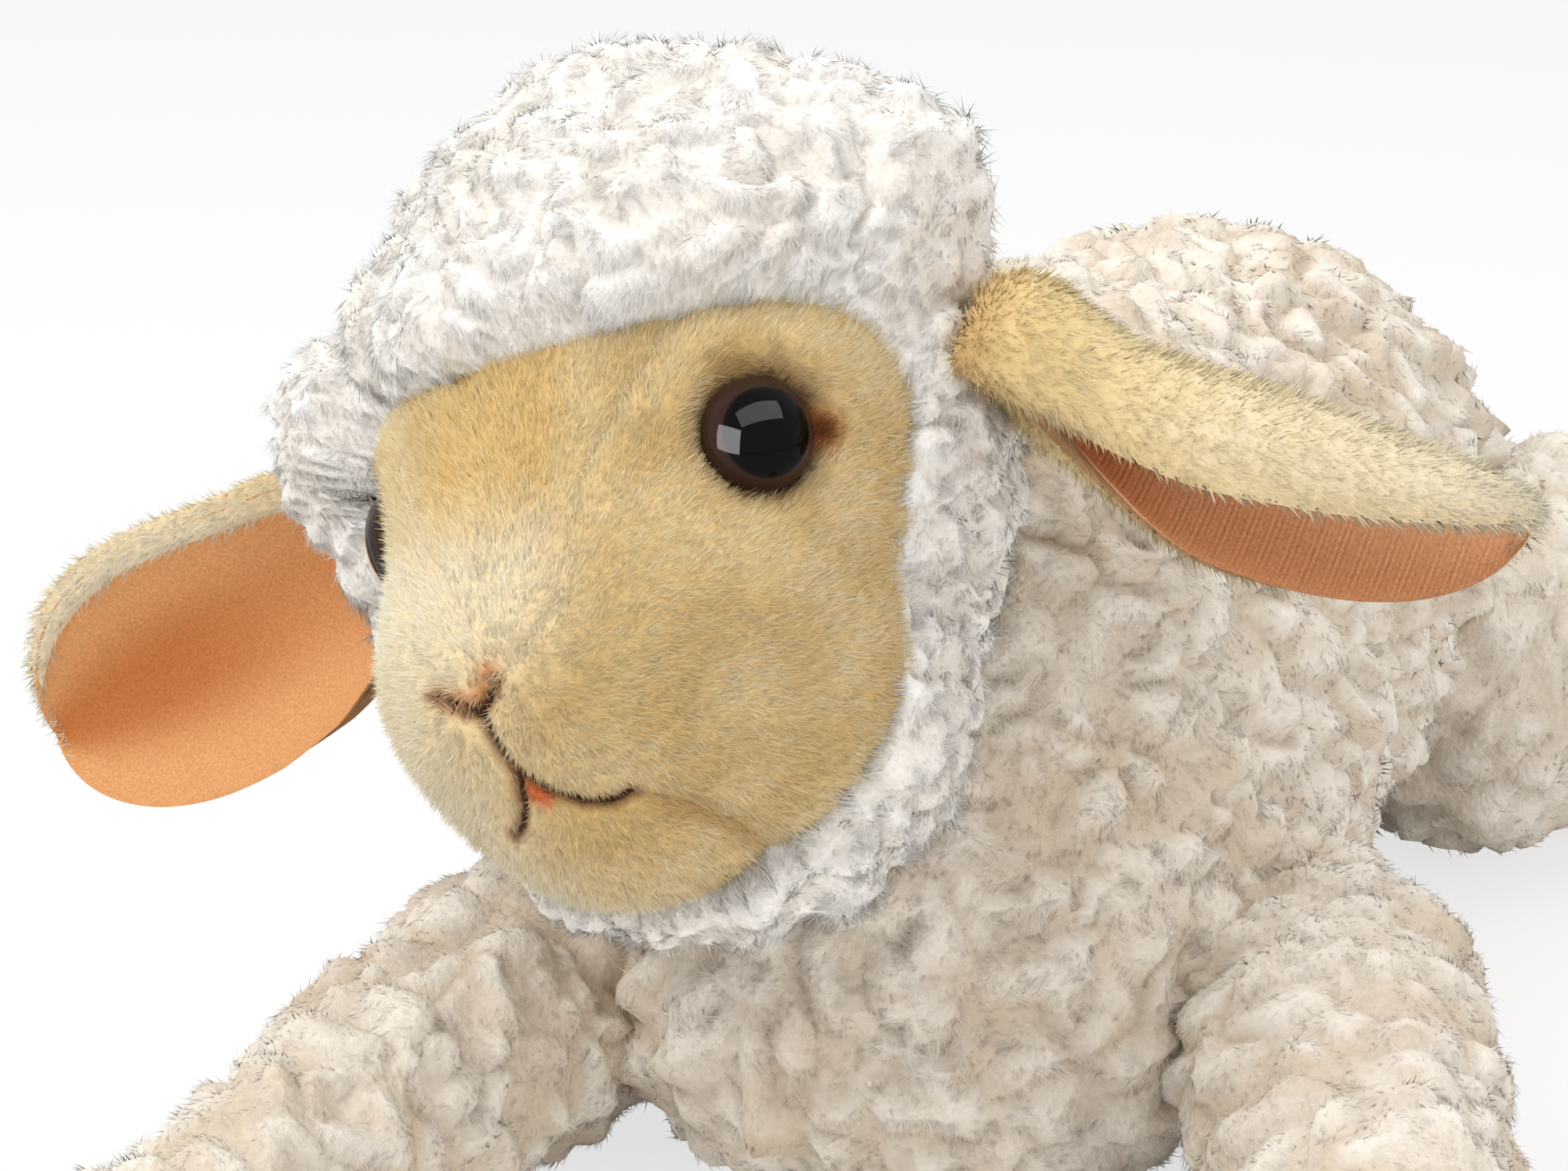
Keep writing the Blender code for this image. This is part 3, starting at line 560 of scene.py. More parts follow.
@dataclass(frozen=True)
class PlasticFinish:
    """Plain moulded plastic of one tone."""

    name: str
    colour: tuple[float, float, float]

    def material(self) -> bpy.types.Material:
        """Builds the material."""
        tree = Tree(self.name)
        fine = tree.noise(700.0)
        stops = [(0.2, tuple(0.9 * part for part in self.colour)), (0.8, self.colour)]
        colour = tree.node("ShaderNodeValToRGB", {"stops": stops}, [fine])
        return tree.dress(Base_Color=colour, Roughness=fine * 0.2 + 0.35)


@dataclass(frozen=True)
class Tufts:
    """Curls of wool spread over a skin, which it swells and gaps between."""

    spacing: float
    height: float
    seed: int
    stretch: tuple[float, float, float] = (1.0, 1.0, 1.0)
    waves: float = 0.4
    hang: tuple[float, float, float] = (0.0, 0.0, 0.0)

    def scatter(self, skin: Skin) -> Array:
        """Spreads the curls' middles over a skin.

        Args:
            skin: The smooth skin.

        Returns:
            The middles, stretched as the curls are.
        """
        rng = np.random.default_rng(self.seed)
        tries, _ = skin.sample(int(skin.area() / self.spacing ** 2 * 9.0), None, rng)
        tries = tries / np.array(self.stretch)
        cells: dict[tuple[int, int, int], list[Array]] = {}
        kept = []
        for point in tries:
            key = tuple(int(value) for value in np.floor(point / self.spacing))
            near = [other for dx in (-1, 0, 1) for dy in (-1, 0, 1) for dz in (-1, 0, 1)
                    for other in cells.get((key[0] + dx, key[1] + dy, key[2] + dz), ())]
            if all(np.sum((point - other) ** 2) > self.spacing ** 2 * 0.7 for other in near):
                cells.setdefault(key, []).append(point)
                kept.append(point)
        return np.array(kept)

    def read(self, centres: Array, points: Array) -> tuple[Array, Array]:
        """Finds each point's curl, and how far it is from the gap to the next.

        Args:
            centres: The curls' middles, stretched.
            points: Places in the row's frame.

        Returns:
            The curls' numbers, and shares from 0 in a gap to 1 in the middle.
        """
        tree = KDTree(len(centres))
        for index, centre in enumerate(centres):
            tree.insert(centre, index)
        tree.balance()
        bend = wisps(points, self.spacing * 2.0, self.seed) * self.spacing * 0.4
        places = points / np.array(self.stretch) + bend
        numbers = np.empty(len(points), np.int64)
        shares = np.empty(len(points))
        for index, place in enumerate(places):
            (_, number, near), (_, _, far) = tree.find_n(place, 2)
            numbers[index] = number
            shares[index] = (far - near) / max(far + near, 1e-9)
        return numbers, shares

    def swell(self, skin: Skin, centres: Array) -> Array:
        """Raises the skin to the curls, which hang over at their lower ends.

        Args:
            skin: The smooth skin.
            centres: The curls' middles, stretched.

        Returns:
            How much each face has been stretched, as a share that falls from 1.
        """
        before = skin.sizes()
        numbers, shares = self.read(centres, skin.points)
        away = skin.points / np.array(self.stretch) - centres[numbers]
        offset = away @ np.array(self.hang) / self.spacing
        rise = (1.0 - (1.0 - smooth(0.0, 0.7, shares)) ** 2) * (1.0 + np.clip(offset, -0.7, 0.7))
        rise = rise + self.waves * Waves(self.spacing * 2.6, self.seed + 9).at(skin.points)
        skin.points = skin.points + skin.normals() * (rise * self.height)[:, None]
        return before / np.maximum(skin.sizes(), before)


@dataclass(frozen=True)
class PileCut:
    """How a pile is cut and brushed."""

    density: float
    length: float
    width: float
    lift: float
    stray: float
    soften: float = 0.7
    vary: float = 0.3
    sink: float = 0.4


class Pile:
    """A pile of tapering strands on a skin."""

    def __init__(self, name: str, skin: Skin, cut: PileCut, seed: int) -> None:
        """Keeps what the pile grows on."""
        self.name, self.skin, self.cut = name, skin, cut
        self.rng = np.random.default_rng(seed)

    def roots(self, weight: Array | None = None, values: Array | None = None) -> tuple[Array, ...]:
        """Draws the strands' roots.

        Args:
            weight: A weight for each of the skin's faces, or None.
            values: What else is known of each of the skin's points, or None.

        Returns:
            The roots, their normals and the values there if any were given.
        """
        area = self.skin.sizes()
        share = 1.0 if weight is None else float((area * weight).sum() / area.sum())
        count = int(self.cut.density * self.skin.area() / MM ** 2 * share)
        return self.skin.sample(count, weight, self.rng, values)

    def build(self, roots: Array, normals: Array, nap: Array, low: Array, high: Array,
              lengths: Array | None = None) -> bpy.types.Object:
        """Grows the strands and makes their mesh.

        Args:
            roots: The strands' roots.
            normals: The skin's normals there.
            nap: The way the pile is brushed at each root.
            low: Colour at each root.
            high: Colour at each tip.
            lengths: Shares of the cut's length, or None.

        Returns:
            The pile's object.
        """
        cut, rng, count = self.cut, self.rng, len(roots)
        along = unit(nap - (nap * normals).sum(axis=1, keepdims=True) * normals)
        way = normals * cut.lift + along * (1.0 - cut.lift) + rng.normal(size=(count, 3)) * cut.stray
        length = cut.length * (1.0 + cut.vary * rng.uniform(-1.0, 1.0, count))
        if lengths is not None:
            length = length * lengths
        way = unit(way)
        way = unit(way + normals * np.maximum(0.08 - (way * normals).sum(axis=1), 0.0)[:, None])
        side = unit(np.cross(way, rng.normal(size=(count, 3))))
        other = np.cross(way, side)
        half = cut.width / 2.0 * rng.uniform(0.7, 1.3, count)
        base = roots - normals * (cut.sink * MM)
        points = np.empty((count, 4, 3))
        shade = np.empty((count, 4, 3))
        for corner in range(3):
            turn = 2.0 * math.pi * corner / 3.0
            away = side * math.cos(turn) + other * math.sin(turn)
            points[:, corner] = base + away * half[:, None]
            shade[:, corner] = normals * cut.soften + away * (1.0 - cut.soften)
        points[:, 3] = roots + way * length[:, None]
        points[:, :, 2] = np.maximum(points[:, :, 2], 0.0002)
        shade[:, 3] = normals * cut.soften + way * (1.0 - cut.soften)
        pattern = np.array(((0, 2, 1), (0, 1, 3), (1, 2, 3), (2, 0, 3)))
        faces = (np.arange(count)[:, None, None] * 4 + pattern).reshape(-1, 3)
        tints = np.repeat(low[:, None, :], 4, axis=1)
        tints[:, 3] = high
        made = mesh_object(self.name, points.reshape(-1, 3), faces, tints.reshape(-1, 3))
        made.visible_shadow = False
        self._map(made.data, count, pattern)
        made.data.normals_split_custom_set_from_vertices(unit(shade.reshape(-1, 3)))
        return made

    @staticmethod
    def _map(mesh: bpy.types.Mesh, count: int, pattern: Array) -> None:
        """Gives each strand a cell of its own on the bake's map."""
        wide = math.ceil(math.sqrt(count))
        cell = np.stack([np.arange(count) % wide, np.arange(count) // wide], axis=1)
        corners = np.array(((0.15, 0.15), (0.85, 0.15), (0.5, 0.3), (0.5, 0.85)))
        places = (cell[:, None, None, :] + corners[pattern][None]) / wide
        layer = mesh.uv_layers.new(name=BAKE_MAP)
        layer.data.foreach_set("uv", places.astype(np.float32).ravel())


def shell(name: str, skin: Skin, tints: Array, thickness: float) -> bpy.types.Object:
    """Makes an open skin into a closed shell, thickened inwards."""
    made = mesh_object(name, skin.points, skin.faces, tints)
    apply_modifier(made, "SOLIDIFY", thickness=thickness, offset=-1.0, use_even_offset=False)
    return made


def finish(made: bpy.types.Object, material: bpy.types.Material, body: str) -> bpy.types.Object:
    """Dresses a piece and lets it ride on its body."""
    made.data.materials.clear()
    made.data.materials.append(material)
    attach(made, body)
    LOG.info("%s: %d triangles on %s", made.name, len(made.data.polygons), body)
    return made


class Side(Enum):
    """The lamb's two sides, with the sign of X."""

    LEFT = 1.0
    RIGHT = -1.0


HEAD_TURN = math.radians(-11.5)
HEAD_TILT = math.radians(-23.0)
NECK_BELOW = np.array((0.0, 8.0, -20.0)) * MM
HEAD_BLEND, HEAD_START = 0.010, (0.0, -5.0, -6.0)
BODY_BLEND, BODY_START = 0.018, (0.0, 0.0, 56.0)


def head_place() -> Place:
    """Gives the head's frame: its neck is where the CAD's joint turns."""
    turn = np.array(Matrix.Rotation(HEAD_TURN, 3, "Z") @ Matrix.Rotation(HEAD_TILT, 3, "Y"))
    return Place(turn, joint_place("neck_turn") - turn @ NECK_BELOW)


HEAD = head_place()
ROW = Place(np.eye(3), np.zeros(3))
FACE_FORM = SoftForm(
    (((0.0, 2.0, -1.0), (37.2, 30.0, 40.0)), ((0.0, -6.0, 2.0), (33.3, 26.5, 21.0)),
     ((0.0, -18.5, -17.0), (32.4, 29.0, 25.0)), ((0.0, -19.0, -31.0), (23.0, 23.0, 18.0)),
     ((17.0, -10.0, -31.0), (14.5, 14.0, 15.0)), ((-17.0, -10.0, -31.0), (14.5, 14.0, 15.0))),
    HEAD_BLEND, HEAD_START, HEAD)
HOOD_FORM = SoftForm(
    (((0.0, 10.0, 5.0), (43.1, 36.0, 48.5)), ((0.0, -3.0, 20.0), (36.3, 26.0, 23.0)),
     ((0.0, -8.0, -33.0), (35.3, 30.0, 26.0)), ((-42.5, 0.0, 14.0), (16.0, 16.0, 17.0)),
     ((-38.0, -4.0, -8.0), (11.5, 10.0, 22.0)), ((38.0, 14.0, 23.5), (11.0, 12.0, 13.0)),
     ((27.0, 12.0, 30.0), (12.0, 12.0, 13.5))),
    HEAD_BLEND, HEAD_START, HEAD)
BODY_FORM = SoftForm(
    (((3.2, -50.0, 37.5), (48.6, 59.0, 37.5)), ((0.0, -42.0, 71.7), (41.0, 48.0, 41.4)),
     ((0.0, 2.0, 51.5), (51.8, 62.0, 52.0)), ((1.1, 52.0, 51.0), (50.5, 53.0, 48.5)),
     ((5.0, -80.0, 20.0), (40.0, 31.0, 20.0))),
    BODY_BLEND, BODY_START, ROW)


@dataclass(frozen=True)
class WoolColours:
    """Colours of a wool, from its gaps to its tips, with painted shade in the gaps between curls."""

    # gap is painted shade: the colour in the hollows between curls.
    gap: Array
    root: Array
    tip: Array
    drift_size: float
    drift_seed: int

    def at(self, shares: Array, points: Array, rng: np.random.Generator) -> tuple[Array, Array]:
        """Colours strands, darkest in the gaps between curls, which is painted shade.

        Args:
            shares: From 0 in a gap to 1 in a curl's middle.
            points: Where the strands grow, in the row's frame.
            rng: Random numbers.

        Returns:
            Colours at the roots and at the tips.
        """
        drift = Waves(self.drift_size, self.drift_seed).at(points)
        # Painted shade: roots in the gaps take the gap colour, and tips there stay at the root colour.
        depth = smooth(0.0, 0.55, shares + drift * 0.12)
        low = mixed(self.gap, self.root, depth)
        high = mixed(self.root, self.tip, smooth(-0.35, 0.45, shares + drift * 0.25))
        shade = 1.0 + 0.02 * rng.normal(size=(len(shares), 1))
        return np.minimum(low * shade, BRIGHTEST), np.minimum(high * shade, BRIGHTEST)

    def cloth(self, shares: Array, points: Array, seed: int) -> Array:
        """Colours the cloth under the strands like their middles, with the same painted shade in the gaps."""
        return mixed(*self.at(shares, points, np.random.default_rng(seed)), CLOTH_SHARE)


# The gap colours are painted shade in the hollows between the curls.
HOOD_WOOL = WoolColours(rgb(224, 213, 197), rgb(240, 236, 229), rgb(246, 243, 239), 0.03, 8)
BODY_WOOL = WoolColours(rgb(180, 148, 110), rgb(232, 220, 202), rgb(245, 239, 229), 0.04, 18)
# The lid brown is partly airbrush round the eyes and partly painted shade of the sockets and brows.
LID_BROWN_AND_SHADE, DARK_BROWN = rgb(128, 92, 46), rgb(44, 20, 8)
WOOL_CUT = PileCut(density=1.0, length=0.0022, width=0.0003, lift=0.17, stray=0.12, soften=0.96)


def curl_lengths(shares: Array) -> Array:
    """Gives strands in the gaps between curls a shorter length."""
    return 0.8 + 0.4 * smooth(0.0, 0.6, shares)


class Shades:
    """Colours at the roots and tips of a pile, painted over one another."""

    def __init__(self, low: Array, high: Array) -> None:
        """Keeps the first colours."""
        self.low, self.high = low, high

    def lay(self, low: Array, high: Array, share: Array, deep: float = 1.0, light: float = 1.0) -> None:
        """Lays a colour over the others.

        Args:
            low: Colour at the roots.
            high: Colour at the tips.
            share: How much it covers at each point.
            deep: How strong it is at the roots.
            light: How strong it is at the tips.
        """
        self.low = mixed(self.low, low, share * deep)
        self.high = mixed(self.high, high, share * light)


@dataclass
class Head:
    """The head: hood, face panels, eyes and stitching."""

    opening_width: float = 38.0
    opening_height: float = 35.5
    opening_middle: float = -14.5
    nose: Array = field(default_factory=lambda: np.array(
        ((-6.4, -14.6), (-4.6, -15.6), (-3.0, -16.7), (-0.9, -17.3), (0.8, -16.4), (2.5, -14.7))))
    lip: Array = field(default_factory=lambda: np.array(
        ((-0.9, -17.3), (-0.7, -18.9), (-0.4, -21.4), (0.0, -23.2), (0.5, -24.8))))
    mouth: Array = field(default_factory=lambda: np.array(
        ((-6.0, -32.6), (-3.6, -31.6), (-1.6, -29.7), (-0.6, -27.6), (0.5, -24.8), (2.0, -26.5), (3.6, -28.4),
         (5.4, -29.9), (7.2, -30.9), (9.4, -31.4), (11.8, -31.0))))
    gusset: tuple[tuple[float, float], ...] = (
        (30.0, 27.0), (17.4, 22.0), (3.7, 12.4), (-8.7, 11.0), (-13.0, 5.4), (-16.0, 1.5))
    eye_place: Array = field(default_factory=lambda: np.array((30.0, -19.0, 1.9)))

    def eye_at(self, side: Side) -> Array:
        """Gives an eye's middle in the head's frame, in millimetres."""
        return self.eye_place * np.array((side.value, 1.0, 1.0))

    def gusset_half(self, z: Array) -> Array:
        """Gives half the gusset's width at heights, in millimetres."""
        heights, widths = np.array(self.gusset[::-1]).T
        return np.interp(z, heights, widths, left=-9.0)

    @staticmethod
    def above_jaw(y: Array, z: Array) -> Array:
        """Gives the distance above the jaw's seam, in millimetres."""
        return 0.588 * (y + 45.0) + 0.809 * (z + 27.5)

    def opening(self, local: Array) -> Array:
        """Tells how far local points lie in the hood's opening: below 1 is inside."""
        x, y, z = (local / MM).T
        across = np.abs(x) / self.opening_width
        up = (z - self.opening_middle) / self.opening_height
        power = np.where(up > 0.0, 6.0, 2.7)
        ring = (across ** power + np.abs(up) ** power) ** (1.0 / power)
        edge = -4.0 + 0.649 * (z - self.opening_middle)
        return ring + smooth(-3.0, 5.0, y - edge - 5.0 * smooth(-16.0, -32.0, z))

    def creases(self, local: Array) -> Array:
        """Gives the depth of seams and stitched lines at local points, in millimetres."""
        x, y, z = (local / MM).T
        flat = np.stack([x, z], axis=1)
        front = smooth(-8.0, -16.0, y)
        seam = np.abs(np.abs(x) - self.gusset_half(z))
        depth = 0.5 * np.exp(-(seam / 1.4) ** 2) * smooth(-16.5, -13.0, z)
        lines = ((self.nose, 0.8, 0.8), (self.lip, 1.0, 0.9), (self.mouth, 1.1, 0.9))
        for path, deep, wide in lines:
            depth = np.maximum(depth, deep * np.exp(-(path_distance(flat, path) / wide) ** 2))
        jaw = self.above_jaw(y, z)
        jaw_depth = (1.1 * np.exp(-((jaw + 0.5) / 1.3) ** 2) - 0.7 * np.exp(-((jaw - 2.0) / 1.8) ** 2))
        return np.maximum(depth, jaw_depth * smooth(10.5, 14.0, np.abs(x))) * front

    def panel(self, local: Array) -> Array:
        """Numbers the panel of local points: 0 gusset, 1 left cheek, 2 right cheek, 3 chin."""
        x, y, z = (local / MM).T
        number = np.where(x > 0.0, 1, 2)
        number = np.where((np.abs(x) < self.gusset_half(z)) & (y < 12.0), 0, number)
        jaw = self.above_jaw(y, z)
        below_mouth = z < np.interp(x, self.mouth[:, 0], self.mouth[:, 1])
        under = np.where((x > -6.0) & (x < 11.8), below_mouth, jaw < 0.0)
        return np.where(under & (y < 0.0) & (z < -24.0), 3, number)

    def face_colours(self, local: Array, rng: np.random.Generator) -> tuple[Array, Array]:
        """Paints the face as its maker airbrushed it, with painted light on the bridge and muzzle of the
        lamb's right side and painted shade along the jaw's crease, in the eye sockets and under the brows.

        Args:
            local: Places in the head's frame.
            rng: Random numbers.

        Returns:
            Colours at the strands' roots and tips.
        """
        x, y, z = (local / MM).T
        flat = np.stack([x, z], axis=1)
        drift = Waves(0.018, 5).at(local)
        fine = Waves(0.004, 6).at(local)
        shades = Shades(mixed(rgb(204, 170, 112), rgb(216, 186, 132), smooth(-1.0, 1.0, drift)),
                        mixed(rgb(232, 208, 158), rgb(246, 230, 190), smooth(-1.1, 1.1, drift + 0.8 * fine)))
        warm = smooth(13.0, 7.0, np.abs(x)) * smooth(-6.0, 6.0, z) * smooth(34.0, 20.0, z)
        shades.lay(rgb(212, 170, 102), rgb(246, 216, 152), warm, 0.8, 0.8)
        # Painted light: the nose bridge on the lamb's right, towards the key lamp, is painted paler as if
        # lit.
        pale = smooth(26.0, 12.0, np.abs(x + 8.0)) * smooth(-22.0, -8.0, z) * smooth(8.0, -4.0, z)
        shades.lay(rgb(236, 216, 174), rgb(253, 246, 222), pale, 0.9, 0.9)
        # Painted light: the muzzle on the lamb's right, towards the key lamp, is painted paler as if lit.
        painted_light_muzzle = smooth(6.0, -14.0, x) * smooth(-8.0, -20.0, z)
        shades.lay(rgb(232, 214, 174), rgb(252, 244, 220), painted_light_muzzle, 0.8, 0.8)
        for side in Side:
            self.paint_eye(shades, local / MM, side)
        tip = self.nose[2:] + np.array((-0.5, 1.0))
        blush = smooth(2.6, 0.5, path_distance(flat, tip)) * smooth(-18.5, -16.0, z)
        blush = np.maximum(blush, 0.7 * smooth(2.0, 0.4, path_distance(flat, self.nose[:3])))
        shades.lay(rgb(190, 116, 56), rgb(224, 172, 122), blush, 0.75, 0.75)
        tongue = path_distance(flat, np.array(((0.9, -27.6), (2.2, -28.8))))
        coral = smooth(2.0, 0.5, tongue) * smooth(-14.0, -22.0, y)
        shades.lay(rgb(204, 92, 44), rgb(232, 154, 104), coral, 1.0, 0.8)
        # Painted shade in the crease along the jaw's seam, under the overhanging cheeks.
        jaw_crease_shade = np.exp(-((self.above_jaw(y, z) + 0.6) / 1.1) ** 2)
        seam = jaw_crease_shade * smooth(11.0, 14.0, np.abs(x)) * smooth(-8.0, -14.0, y)
        shades.lay(rgb(182, 142, 86), rgb(204, 168, 112), seam, 0.8, 0.7)
        front = smooth(-14.0, -22.0, y)
        for path, wide in ((self.nose, 0.75), (self.lip, 0.6), (self.mouth, 0.7)):
            gap = path_distance(flat, path)
            to_end = np.minimum(*(np.linalg.norm(flat - path[end], axis=1) for end in (0, -1)))
            ends = np.where(path is self.mouth, 0.35 + 0.65 * smooth(0.0, 3.0, to_end), 1.0)
            soft = smooth(wide * 2.4, wide * 0.6, gap) * front
            shades.lay(rgb(134, 82, 36), rgb(160, 112, 60), soft, 0.8, 0.6)
            line = smooth(wide, wide * 0.25, gap) * front * ends
            shades.lay(DARK_BROWN, rgb(80, 38, 10), line, 1.0, 0.85)
        knot = smooth(1.5, 0.6, np.linalg.norm(flat - np.array((-0.9, -17.1)), axis=1)) * front
        shades.lay(DARK_BROWN, rgb(56, 26, 6), knot, 1.0, 0.9)
        grain = Waves(0.0012, 7).at(local * np.array((1.0, 0.6, 1.5)))
        shade = 1.0 + 0.03 * rng.normal(size=(len(local), 1)) + 0.05 * np.clip(grain, -1.5, 1.5)[:, None]
        return shades.low * shade, np.minimum(shades.high * shade, BRIGHTEST)

    def paint_eye(self, shades: Shades, places: Array, side: Side) -> None:
        """Paints the brown rim, partly airbrushed and partly painted shade of the socket that grows above the
        eye, the dark lashes, the orange corner and painted shade under the brow of one eye.

        Args:
            shades: The face's colours.
            places: Places in the head's frame, in millimetres.
            side: Which eye.
        """
        eye = self.eye_at(side)
        away = np.linalg.norm(places - eye, axis=1)
        # The rim is partly airbrushed brown and partly painted shade of the eye's socket, stronger above the
        # eye.
        rim = smooth(10.6, 7.6, away) * (0.5 + 0.5 * smooth(-4.0, 6.0, places[:, 2] - eye[2]))
        shades.lay(LID_BROWN_AND_SHADE, LID_BROWN_AND_SHADE, rim, 0.7, 0.5)
        shades.lay(DARK_BROWN, DARK_BROWN, smooth(8.1, 7.1, away), 1.0, 0.75)
        corner = eye + np.array(((side.value * 2.7, 3.3, -1.2), (side.value * 3.8, 5.5, -1.9)))
        near = path_distance(places, corner)
        shades.lay(rgb(160, 84, 22), rgb(196, 126, 54), smooth(4.4, 2.4, near), 0.9, 0.8)
        shades.lay(DARK_BROWN, DARK_BROWN, smooth(3.3, 2.0, near))
        # Painted shade under the brow, above the eye.
        brow_shade = np.linalg.norm(places - eye - np.array((-1.0 * side.value, 0.0, 8.4)), axis=1)
        shades.lay(LID_BROWN_AND_SHADE, rgb(196, 158, 104), smooth(4.5, 1.0, brow_shade), 0.4, 0.5)

    def nap(self, local: Array) -> Array:
        """Gives the way the face's pile is brushed: from the nose back and outwards."""
        away = local - np.array((0.0, -52.0, -10.0)) * MM
        drift = np.stack([Waves(0.02, 31 + axis).at(local) for axis in range(3)], axis=1)
        return unit(unit(away) + 0.28 * drift + np.array((0.0, 0.55, 0.0)))

    def build_face(self, cloth: bpy.types.Material, pile: bpy.types.Material) -> None:
        """Builds the four velour panels and their pile."""
        skin = Skin.even_ball()
        local = FACE_FORM.surface(unit(skin.points), FACE_INSET)
        skin.points = local
        normals = skin.normals()
        x, y, z = (local / MM).T
        pads = np.exp(-(((np.abs(x) - 9.0) / 7.0) ** 2 + ((z + 22.0) / 7.0) ** 2))
        chin = np.exp(-((x / 11.0) ** 2 + ((z + 40.0) / 6.0) ** 2))
        swell = (1.6 * pads + 1.2 * chin) * smooth(-20.0, -30.0, y) - self.creases(local)
        for side in Side:
            eye = self.eye_at(side)
            away = np.linalg.norm(local / MM - eye, axis=1)
            swell -= 1.6 * smooth(10.5, 6.5, away)
            swell += 0.8 * np.exp(-((away - 12.0) / 3.0) ** 2) * smooth(0.0, 6.0, z - eye[2])
        skin.points = local + normals * (swell * MM)[:, None]
        centres = skin.centres()
        number = self.panel(centres)
        shown = self.opening(centres) < 1.16
        panels = (("forehead_gusset", 0), ("cheek_left", 1), ("cheek_right", 2), ("chin_panel", 3))
        for name, wanted in panels:
            part = skin.part((number == wanted) & shown)
            low, _ = self.face_colours(part.points, np.random.default_rng(11))
            part_row = Skin(HEAD.out(part.points), part.faces)
            backing = shell(f"{name}_velour", part_row, low, FACE_THICKNESS)
            finish(backing, cloth, "head")
            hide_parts(name)
            self.grow_face(f"{name}_pile", part_row, pile, 40 + wanted)

    def grow_face(self, name: str, skin: Skin, pile: bpy.types.Material, seed: int) -> None:
        """Grows one panel's pile."""
        cut = PileCut(density=8.3, length=0.0019, width=0.0002, lift=0.36, stray=0.16, soften=0.9)
        grown = Pile(name, skin, cut, seed)
        roots, normals = grown.roots()
        local = HEAD.inward(roots)
        lashes = np.ones(len(roots), bool)
        for side in Side:
            eye = self.eye_at(side)
            lashes &= np.linalg.norm(local / MM - eye, axis=1) > 6.4
        roots, normals, local = roots[lashes], normals[lashes], local[lashes]
        low, high = self.face_colours(local, grown.rng)
        nap = unit(self.nap(local) + 0.35 * wisps(local, 0.005, 35)) @ HEAD.turn.T
        flat = np.stack([local[:, 0], local[:, 2]], axis=1) / MM
        near = np.minimum(path_distance(flat, self.mouth), path_distance(flat, self.lip))
        lengths = 0.6 + 0.4 * smooth(0.5, 3.5, near)
        finish(grown.build(roots, normals, nap, low, high, lengths), pile, "head")

    def build_hood(self, cloth: bpy.types.Material, pile: bpy.types.Material) -> None:
        """Builds the wool hood and its pile."""
        skin = Skin.even_ball()
        ways = unit(skin.points)
        outer = HOOD_FORM.surface(ways, -WOOL_INSET)
        inner = FACE_FORM.surface(ways, -0.003)
        ring = self.opening(outer)
        rim = smooth(1.10, 0.97, ring)[:, None]
        near = np.linalg.norm(inner, axis=1) < np.linalg.norm(outer, axis=1)
        skin.points = HEAD.out(np.where(near[:, None], outer + (inner - outer) * rim, outer))
        tufts = Tufts(0.0074, 0.0018, 3, (1.25, 1.0, 0.85), 0.5)
        centres = tufts.scatter(skin)
        plain = skin.points.copy()
        room = tufts.swell(skin, centres)
        skin.points = plain + (skin.points - plain) * smooth(1.0, 1.08, ring)[:, None]
        outside = (ring[skin.faces] > 0.96).all(axis=1)
        skin, room = skin.part(outside), room[outside]
        tints = HOOD_WOOL.cloth(tufts.read(centres, skin.points)[1], skin.points, 12)
        backing = shell("hood_fleece", skin, tints, HOOD_THICKNESS)
        finish(backing, cloth, "head")
        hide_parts("hood_wool", "head_filling")
        place = HEAD.inward(skin.centres())
        front, left = place[:, 1] < 0.006, place[:, 0] > 0.0
        parts = (("hood_pile_front_left", front & left, 7.5, 0.00014),
                 ("hood_pile_front_right", front & ~left, 6.0, 0.00015),
                 ("hood_pile_left", ~front & left, 2.8, 0.00022),
                 ("hood_pile_right", ~front & ~left, 1.8, 0.0003))
        for index, (name, keep, density, wide) in enumerate(parts):
            cut = replace(WOOL_CUT, density=density, width=wide, length=0.0026)
            grown = Pile(name, skin.part(keep), cut, 60 + index)
            roots, normals = grown.roots(room[keep])
            numbers, shares = tufts.read(centres, roots)
            low, high = HOOD_WOOL.at(shares, roots, grown.rng)
            here = HEAD.inward(roots)
            nap = np.array((0.0, -0.2, -0.5)) @ HEAD.turn.T + 0.5 * self.curls(numbers, 71) \
                + 1.1 * wisps(roots, 0.007, 72)
            fringe = smooth(1.35, 1.0, self.opening(here))
            inward = unit(np.array((0.0, -30.0, -14.0)) * MM - here) @ HEAD.turn.T
            nap = nap * (1.0 - 0.5 * fringe)[:, None] + inward * (1.3 * fringe)[:, None]
            grown_hood = grown.build(roots, normals, nap, low, high, curl_lengths(shares))
            finish(grown_hood, pile, "head")

    @staticmethod
    def curls(numbers: Array, seed: int) -> Array:
        """Gives each curl its own way to lie."""
        ways = unit(np.random.default_rng(seed).normal(size=(int(numbers.max()) + 1, 3)))
        return ways[numbers]


